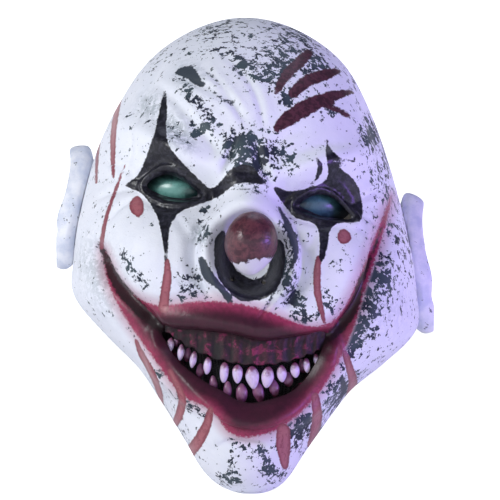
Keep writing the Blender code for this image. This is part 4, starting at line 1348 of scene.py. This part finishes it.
# %% [markdown]
# ## Mouth gauze
# Black open-weave cloth closes the mouth behind the teeth, so the wearer sees out and nobody sees
# in. The cloth is a thin dark sheet, and its raised threads are made with geometry nodes: every
# edge of a fine grid becomes a curve, and every curve becomes a thread.

# %% Gauze threads


def geometry_tree(name, inputs):
    """A geometry node group with a mesh input, named value inputs and a mesh output."""
    group = bpy.data.node_groups.new(name, "GeometryNodeTree")
    group.interface.new_socket("Mesh", in_out="INPUT", socket_type="NodeSocketGeometry")
    for label, kind, default in inputs:
        socket = group.interface.new_socket(label, in_out="INPUT", socket_type=kind)
        if default is not None:
            socket.default_value = default
    group.interface.new_socket("Mesh", in_out="OUTPUT", socket_type="NodeSocketGeometry")
    return group, group.nodes.new("NodeGroupInput"), group.nodes.new("NodeGroupOutput")


def close_tree(tree, made, enter, leave):
    """Makes the tree's instances real, gives them the material and sends them out."""
    real = put(tree, "GeometryNodeRealizeInstances", {"Geometry": made})
    painted = put(tree, "GeometryNodeSetMaterial", {
        "Geometry": real.outputs["Geometry"], "Material": enter.outputs["Material"]})
    tree.links.new(painted.outputs["Geometry"], leave.inputs["Mesh"])


def grow(group, base, name, settings):
    """Runs a geometry tree on a mesh with named inputs, and returns the baked result."""
    source = new_object(name, base)
    modifier = source.modifiers.new("Growth", "NODES")
    modifier.node_group = group
    sockets = {item.name: item.identifier for item in group.interface.items_tree
               if item.item_type == "SOCKET" and item.in_out == "INPUT"}
    for label, value in settings.items():
        modifier[sockets[label]] = value
    graph = bpy.context.evaluated_depsgraph_get()
    graph.update()
    mesh = bpy.data.meshes.new_from_object(source.evaluated_get(graph))
    source.modifiers.clear()
    source.data = mesh
    mesh.name = name
    mesh.shade_smooth()
    return source


thread_tree, enter, leave = geometry_tree("Threads along edges", (
    ("Thread radius", "NodeSocketFloat", 0.0003), ("Material", "NodeSocketMaterial", None)))
lines = put(thread_tree, "GeometryNodeMeshToCurve", {"Mesh": enter.outputs["Mesh"]})
ring = put(thread_tree, "GeometryNodeCurvePrimitiveCircle", {"Resolution": 4,
                                                            "Radius": enter.outputs["Thread radius"]})
tubes = put(thread_tree, "GeometryNodeCurveToMesh", {"Curve": lines.outputs["Curve"],
                                                    "Profile Curve": ring.outputs["Curve"]})
close_tree(thread_tree, tubes.outputs["Mesh"], enter, leave)


def woven(tree, place, across, up):
    """Crossed waves over X and Z, as many radians to the metre as given."""
    apart = put(tree, "ShaderNodeSeparateXYZ", {0: place})
    warp = maths(tree, "SINE", maths(tree, "MULTIPLY", apart.outputs["X"], across))
    weft = maths(tree, "SINE", maths(tree, "MULTIPLY", apart.outputs["Z"], up))
    return maths(tree, "MULTIPLY", warp, weft)


def make_cloth(name, dark, light, scale):
    """Woven cloth: fine crossed threads that catch a little light on their tops."""
    material, tree, shader, place = start_material(name, 0.9, 0.2)
    weave = woven(tree, place, scale, scale)
    dust = noise(tree, place, 700.0, 3, 0.6)
    share = maths(tree, "MULTIPLY_ADD", weave, 0.25, maths(tree, "MULTIPLY", dust, 0.7))
    wire(tree, shader, Base_Color=blended(tree, share, dark, light),
         Normal=bumped(tree, weave, 0.0003, 0.8))
    shader.inputs["Sheen Weight"].default_value = 0.25
    return material


gauze_cloth = make_cloth("Black gauze", srgb(12, 11, 14), srgb(34, 30, 38), 5200.0)
GAUZE_HALF, GAUZE_DEPTH = 54, LOWER_GUM_DEPTH + GUM_THICK + 4


gauze = band_sheet("gauze_sheet", GAUZE_HALF, lambda x: mouth_low(x) - 10, lambda x: mouth_high(x) + 10,
                   GAUZE_DEPTH + 0.3, 0.5, 60, 30)
settle(gauze, gauze_cloth, "black_gauze", "root", "mouth_gauze")
NET_ROWS, NET_COLUMNS = 40, 68
u, v = np.meshgrid(np.linspace(-1, 1, NET_COLUMNS), np.linspace(0, 1, NET_ROWS))
x = u * GAUZE_HALF
z = mouth_low(x) - 10 + (mouth_high(x) - mouth_low(x) + 20) * v
net = leaned(x, front_y(x, z, GAUZE_DEPTH), z).reshape(-1, 3) * MM
knots = np.arange(NET_ROWS * NET_COLUMNS).reshape(NET_ROWS, NET_COLUMNS)
steps = [tuple(pair) for ends in ((knots[:, :-1], knots[:, 1:]), (knots[:-1], knots[1:]))
         for pair in np.stack(ends, -1).reshape(-1, 2).tolist()]
net_mesh = bpy.data.meshes.new("net")
net_mesh.from_pydata(net, steps, [])
threads = grow(thread_tree, net_mesh, "gauze_threads", {"Thread radius": 0.00028, "Material": gauze_cloth})
settle(threads, None, "black_gauze", "root", "mouth_gauze")
print("gauze threads:", len(threads.data.polygons), "faces")

# %% [markdown]
# ## Nape closure
# The slit nape is held shut by a short strap. One end is stitched down as the anchor on the right
# flap, the free end carries hook tape, and the left flap carries loop tape. The webbing is ribbed
# across, and each piece has a row of stitches just inside its edge.

# %% Webbing bands
STRAP_Z, STRAP_WIDTH, STRAP_THICK, STRAP_FOLD_X, STRAP_ENDS = 112.0, 25.0, 1.4, -6.0, (-44.0, 46.0)
PATCH_THICK, PATCH_LIFT = 1.2, 1.0
HOOK_LIFT = PATCH_LIFT + PATCH_THICK + GAP
STRAP_LIFT = HOOK_LIFT + PATCH_THICK + GAP


def nape_place(x, z, lift):
    """Places on the nape, lifted off it, for a level band that ignores the face's lean."""
    return np.stack((x, back_y(x, z + LEAN * x, lift), z), -1) + SEAT


def nape_band(name, ends, height, lift, thickness, round_end=0.0):
    """A closed strip of tape that follows the nape; its free end may have rounded corners."""
    columns, rows = 100, 26
    u, v = np.meshgrid(np.linspace(0, 1, columns), np.linspace(-1, 1, rows))
    x = ends[0] + (ends[1] - ends[0]) * u
    half = np.full(x.shape, height / 2)
    if round_end:
        into = np.clip((x - (ends[1] - round_end)) / round_end, 0, 1)
        half = height / 2 - round_end * (1 - np.sqrt(1 - into**2))
    z = STRAP_Z + v * half
    ribs = 0.10 * np.sin(x * 4.2)
    edge = 0.25 * smooth_step(0.85, 1.0, np.abs(v))
    low, high = nape_place(x, z, lift), nape_place(x, z, lift + thickness - 0.12 - edge + ribs * 0.8)
    rim = [pair[::-1] for pair in grid_rim(rows, columns)]
    return plate(name, high.reshape(-1, 3), low.reshape(-1, 3), grid_quads(rows, columns), rim)


def make_webbing():
    material, tree, shader, place = start_material("Black webbing", 0.8, 0.3)
    weave = woven(tree, place, 6200.0, 5200.0)
    dust = noise(tree, place, 160.0, 4, 0.6)
    fade = maths(tree, "MULTIPLY_ADD", weave, 0.2, between(tree, dust, 0.3, 0.8))
    wire(tree, shader, Base_Color=blended(tree, fade, srgb(26, 26, 29), srgb(56, 56, 62)),
         Normal=bumped(tree, weave, 0.0003, 0.9))
    shader.inputs["Sheen Weight"].default_value = 0.3
    return material


webbing = make_webbing()
anchor = nape_band("anchor_webbing", (STRAP_ENDS[0], STRAP_FOLD_X - GAP), STRAP_WIDTH, PATCH_LIFT,
                   STRAP_LIFT - PATCH_LIFT + STRAP_THICK)
settle(anchor, webbing, "black_tape", "right_flap", "strap_anchor")
strap = nape_band("strap_webbing", (STRAP_FOLD_X + GAP, STRAP_ENDS[1]), STRAP_WIDTH, STRAP_LIFT,
                  STRAP_THICK, 5.0)
settle(strap, webbing, "black_tape", "strap", "closure_strap")
backing = make_cloth("Hook and loop tape", srgb(18, 18, 20), srgb(46, 46, 50), 4200.0)
PATCH_ENDS = (9.0, STRAP_ENDS[1] - 3)
loops = nape_band("loop_tape", PATCH_ENDS, STRAP_WIDTH - 4, PATCH_LIFT, PATCH_THICK - 0.5)
settle(loops, backing, "hook_loop_tape", "left_flap", "loop_patch")
hooks = nape_band("hook_tape", PATCH_ENDS, STRAP_WIDTH - 4, HOOK_LIFT + 0.5, PATCH_THICK - 0.5)
settle(hooks, backing, "hook_loop_tape", "strap", "hook_patch")
print("webbing and tape:", len(strap.data.polygons), "faces each")

# %% [markdown]
# ### Stitches and bristles
# Stitches run along a path: the path is cut into even steps and a short thread lies on each step.
# The pile of the hook and loop tape is scattered over the tape's face: stiff little bristles on
# the one, and soft curled loops on the other.

# %% Stitch and bristle trees
stitch_tree, enter, leave = geometry_tree("Stitches along a path", (
    ("Step", "NodeSocketFloat", 0.0028), ("Stitch length", "NodeSocketFloat", 0.0021),
    ("Thread radius", "NodeSocketFloat", 0.00035), ("Material", "NodeSocketMaterial", None)))
path = put(stitch_tree, "GeometryNodeMeshToCurve", {"Mesh": enter.outputs["Mesh"]})
even = put(stitch_tree, "GeometryNodeCurveToPoints", {
    "Curve": path.outputs["Curve"], "Length": enter.outputs["Step"]}, mode="LENGTH")
thread = put(stitch_tree, "GeometryNodeMeshUVSphere", {"Segments": 8, "Rings": 6, "Radius": 1.0})
size = put(stitch_tree, "ShaderNodeCombineXYZ", {
    "X": enter.outputs["Thread radius"], "Y": enter.outputs["Thread radius"],
    "Z": maths(stitch_tree, "MULTIPLY", enter.outputs["Stitch length"], 0.5)})
placed = put(stitch_tree, "GeometryNodeInstanceOnPoints", {
    "Points": even.outputs["Points"], "Instance": thread.outputs["Mesh"],
    "Rotation": even.outputs["Rotation"], "Scale": size.outputs["Vector"]})
close_tree(stitch_tree, placed.outputs["Instances"], enter, leave)

pile_tree, enter, leave = geometry_tree("Pile on tape", (
    ("Density", "NodeSocketFloat", 1.5e6), ("Height", "NodeSocketFloat", 0.0004),
    ("Width", "NodeSocketFloat", 0.00012), ("Lean", "NodeSocketFloat", 0.3),
    ("Seed", "NodeSocketInt", 4), ("Material", "NodeSocketMaterial", None)))
spots = put(pile_tree, "GeometryNodeDistributePointsOnFaces", {
    "Mesh": enter.outputs["Mesh"], "Density": enter.outputs["Density"], "Seed": enter.outputs["Seed"]})
bristle = put(pile_tree, "GeometryNodeMeshCone", {
    "Vertices": 4, "Radius Bottom": enter.outputs["Width"], "Radius Top": 0.00004,
    "Depth": enter.outputs["Height"]})
low = put(pile_tree, "ShaderNodeCombineXYZ", {k: maths(pile_tree, "MULTIPLY", enter.outputs["Lean"], -1.0)
                                              for k in ("X", "Y")})
high = put(pile_tree, "ShaderNodeCombineXYZ", {k: enter.outputs["Lean"] for k in ("X", "Y")})
wild = put(pile_tree, "FunctionNodeRandomValue", {0: low.outputs["Vector"], 1: high.outputs["Vector"],
                                                 "Seed": enter.outputs["Seed"]}, data_type="FLOAT_VECTOR")
spin = put(pile_tree, "FunctionNodeRotateRotation", {
    "Rotation": spots.outputs["Rotation"], "Rotate By": wild.outputs[0]}, rotation_space="LOCAL")
placed = put(pile_tree, "GeometryNodeInstanceOnPoints", {
    "Points": spots.outputs["Points"], "Instance": bristle.outputs["Mesh"],
    "Rotation": spin.outputs["Rotation"]})
close_tree(pile_tree, placed.outputs["Instances"], enter, leave)
print("geometry trees:", ", ".join(g.name for g in bpy.data.node_groups if g.type == "GEOMETRY"))

# %% Sew and grow
sewing_thread, tree, shader, place = start_material("Sewing thread", 0.7, 0.3)
shader.inputs["Base Color"].default_value = srgb(70, 70, 76)


def path_mesh(points):
    mesh = bpy.data.meshes.new("path")
    mesh.from_pydata(points * MM, [(k, k + 1) for k in range(len(points) - 1)], [])
    return mesh


STITCH_INSET = 2.0


def sewn_loop(ends, half, lift):
    """A rectangle of stitching on the nape, with a cross over it."""
    a, b, h = ends[0] + STITCH_INSET, ends[1] - STITCH_INSET, half - STITCH_INSET
    corners = ((a, -h), (b, -h), (b, h), (a, h), (a, -h), (b, h), (b, -h), (a, h))
    pts = []
    for (x0, z0), (x1, z1) in zip(corners[:-1], corners[1:]):
        t = np.linspace(0, 1, 24, endpoint=False)
        pts += [(x0 + (x1 - x0) * k, STRAP_Z + z0 + (z1 - z0) * k) for k in t]
    pts = np.array(pts)
    return nape_place(pts[:, 0], pts[:, 1], lift)


def edge_run(ends, half, lift):
    """Two rows of stitching along a band, joined round its free end."""
    a, b, h = ends[0] + STITCH_INSET, ends[1] - STITCH_INSET, half - STITCH_INSET
    x = np.concatenate((np.linspace(a, b - 3, 60), b - 3 + 3 * np.sin(np.linspace(0, np.pi, 20)),
                        np.linspace(b - 3, a, 60)))
    z = np.concatenate((np.full(60, -h), -h * np.cos(np.linspace(0, np.pi, 20)), np.full(60, h)))
    return nape_place(x, STRAP_Z + z, lift)


top = STRAP_LIFT + STRAP_THICK - 0.05
for name, line, body, node in (
        ("anchor_stitches", sewn_loop((STRAP_ENDS[0], STRAP_FOLD_X - GAP), STRAP_WIDTH / 2, top),
         "right_flap", "strap_anchor"),
        ("strap_stitches", edge_run((STRAP_FOLD_X + GAP, STRAP_ENDS[1]), STRAP_WIDTH / 2, top),
         "strap", "closure_strap")):
    sewn = grow(stitch_tree, path_mesh(line), name, {"Material": sewing_thread})
    settle(sewn, None, "black_tape", body, node)
    print(name, len(sewn.data.polygons), "faces")


PILE_MARGIN, FACE_ROWS, FACE_COLUMNS = 0.8, 12, 24


def tape_face(lift, outwards):
    """The bare face of a patch, for its pile to grow on."""
    u, v = np.meshgrid(np.linspace(PATCH_ENDS[0] + PILE_MARGIN, PATCH_ENDS[1] - PILE_MARGIN, FACE_COLUMNS),
                       np.linspace(-1, 1, FACE_ROWS) * ((STRAP_WIDTH - 4) / 2 - PILE_MARGIN))
    pts = nape_place(u, STRAP_Z + v, lift).reshape(-1, 3)
    quads = grid_quads(FACE_ROWS, FACE_COLUMNS)
    mesh = bpy.data.meshes.new("tape_face")
    mesh.from_pydata(pts * MM, [], quads if outwards else [q[::-1] for q in quads])
    return mesh


pile = {"Height": 0.0005, "Material": backing}
loop_pile = grow(pile_tree, tape_face(PATCH_LIFT + PATCH_THICK - 0.3, True), "loop_pile",
                 {**pile, "Density": 5.0e6, "Width": 0.00018, "Lean": 1.1, "Seed": 3})
settle(loop_pile, None, "hook_loop_tape", "left_flap", "loop_patch")
hook_pile = grow(pile_tree, tape_face(HOOK_LIFT + 0.3, False), "hook_pile",
                 {**pile, "Density": 4.0e6, "Width": 0.00011, "Lean": 0.25, "Seed": 8})
settle(hook_pile, None, "hook_loop_tape", "strap", "hook_patch")
print("pile:", len(loop_pile.data.polygons), "and", len(hook_pile.data.polygons), "faces")

# %% [markdown]
# ## Studio
# The mask stands in the middle of a round sweep of pale paper that glows a little away from it, so
# it has the same ground from every side. A broad soft key comes from the front left, a violet
# light rakes in from the low right, as on a stage, and a weak top light holds the crown. The camera
# itself sees the paper burnt out to white.

# %% Studio lights and paper


def add_light(name, place, target, size, power, colour):
    data = bpy.data.lights.new(name, "AREA")
    data.shape, data.size, data.energy, data.color = "DISK", size, power, colour
    lamp = bpy.data.objects.new(name, data)
    bpy.context.scene.collection.objects.link(lamp)
    lamp.location = place
    lamp.rotation_euler = (Vector(target) - Vector(place)).to_track_quat("-Z", "Y").to_euler()
    return lamp


centre = Vector((0.003, 0.0, 0.147))
add_light("Key", (-1.25, -1.05, 0.90), centre, 0.55, 15.0, (0.97, 0.99, 1.0))
add_light("Violet fill", (1.15, -0.55, 0.10), centre, 0.5, 9.5, (0.36, 0.16, 1.0))
add_light("Low violet", (0.25, -1.1, -0.35), centre, 0.5, 2.4, (0.62, 0.40, 1.0))
add_light("Top", (0.1, 0.25, 1.3), centre, 0.9, 3.2, (0.75, 0.80, 1.0))
world = bpy.data.worlds.new("Studio")
bpy.context.scene.world = world
world.use_nodes = True
world.node_tree.nodes["Background"].inputs["Color"].default_value = (0.90, 0.93, 1.0, 1)
world.node_tree.nodes["Background"].inputs["Strength"].default_value = 0.06

PAPER_REACH, PAPER_BEND, PAPER_TOP, PAPER_GLOW, SPOKES = 8.0, 0.8, 3.2, 0.60, 72
bend = np.linspace(0, math.pi / 2, 14)
profile = [(r, 0.0) for r in np.linspace(0.05, PAPER_REACH, 24)]
profile += [(PAPER_REACH + PAPER_BEND * math.sin(a), PAPER_BEND * (1 - math.cos(a))) for a in bend[1:]]
profile.append((PAPER_REACH + PAPER_BEND, PAPER_TOP))
spokes = np.linspace(0, 2 * math.pi, SPOKES, endpoint=False)
places = [(r * math.cos(a), r * math.sin(a), z) for r, z in profile for a in spokes]
faces = [(i * SPOKES + k, (i + 1) * SPOKES + k,
          (i + 1) * SPOKES + (k + 1) % SPOKES, i * SPOKES + (k + 1) % SPOKES)
         for i in range(len(profile) - 1) for k in range(SPOKES)]
faces.append(tuple(range(SPOKES)))
mesh = bpy.data.meshes.new("studio_paper")
mesh.from_pydata(places, [], faces)
mesh.shade_smooth()
paper = new_object("studio_paper", mesh)
paper_finish, tree, shader, place = start_material("Studio paper", 0.9, 0.2)
away = put(tree, "ShaderNodeVectorMath", {0: place}, operation="LENGTH").outputs["Value"]
glow = maths(tree, "MULTIPLY_ADD", between(tree, away, 0.2, 1.3), 0.7 * PAPER_GLOW, 0.3 * PAPER_GLOW)
seen = put(tree, "ShaderNodeLightPath", {}).outputs["Is Camera Ray"]
grain = blended(tree, noise(tree, place, 3.0), (0.88, 0.88, 0.89, 1), (0.93, 0.93, 0.94, 1))
wire(tree, shader, Base_Color=grain, Emission_Strength=maths(tree, "MAXIMUM", seen, glow))
shader.inputs["Emission Color"].default_value = (0.96, 0.97, 1.0, 1)
mesh.materials.append(paper_finish)
print("paper:", len(faces), "faces")

# %% [markdown]
# ## Camera
# The mask is seen straight on and level, from far enough back that the outline stays true.

# %% Camera
DISTANCE, FRAME_WIDTH = 3.0, 0.307
camera_data = bpy.data.cameras.new("Camera")
camera = bpy.data.objects.new("Camera", camera_data)
bpy.context.scene.collection.objects.link(camera)
camera.location = (0.003, -DISTANCE, 0.147)
camera.rotation_euler = (math.pi / 2, 0, 0)
camera_data.sensor_width = 36
camera_data.lens = 36 * (DISTANCE - 0.01) / FRAME_WIDTH
bpy.context.scene.camera = camera
bpy.context.scene.view_settings.view_transform = "Standard"
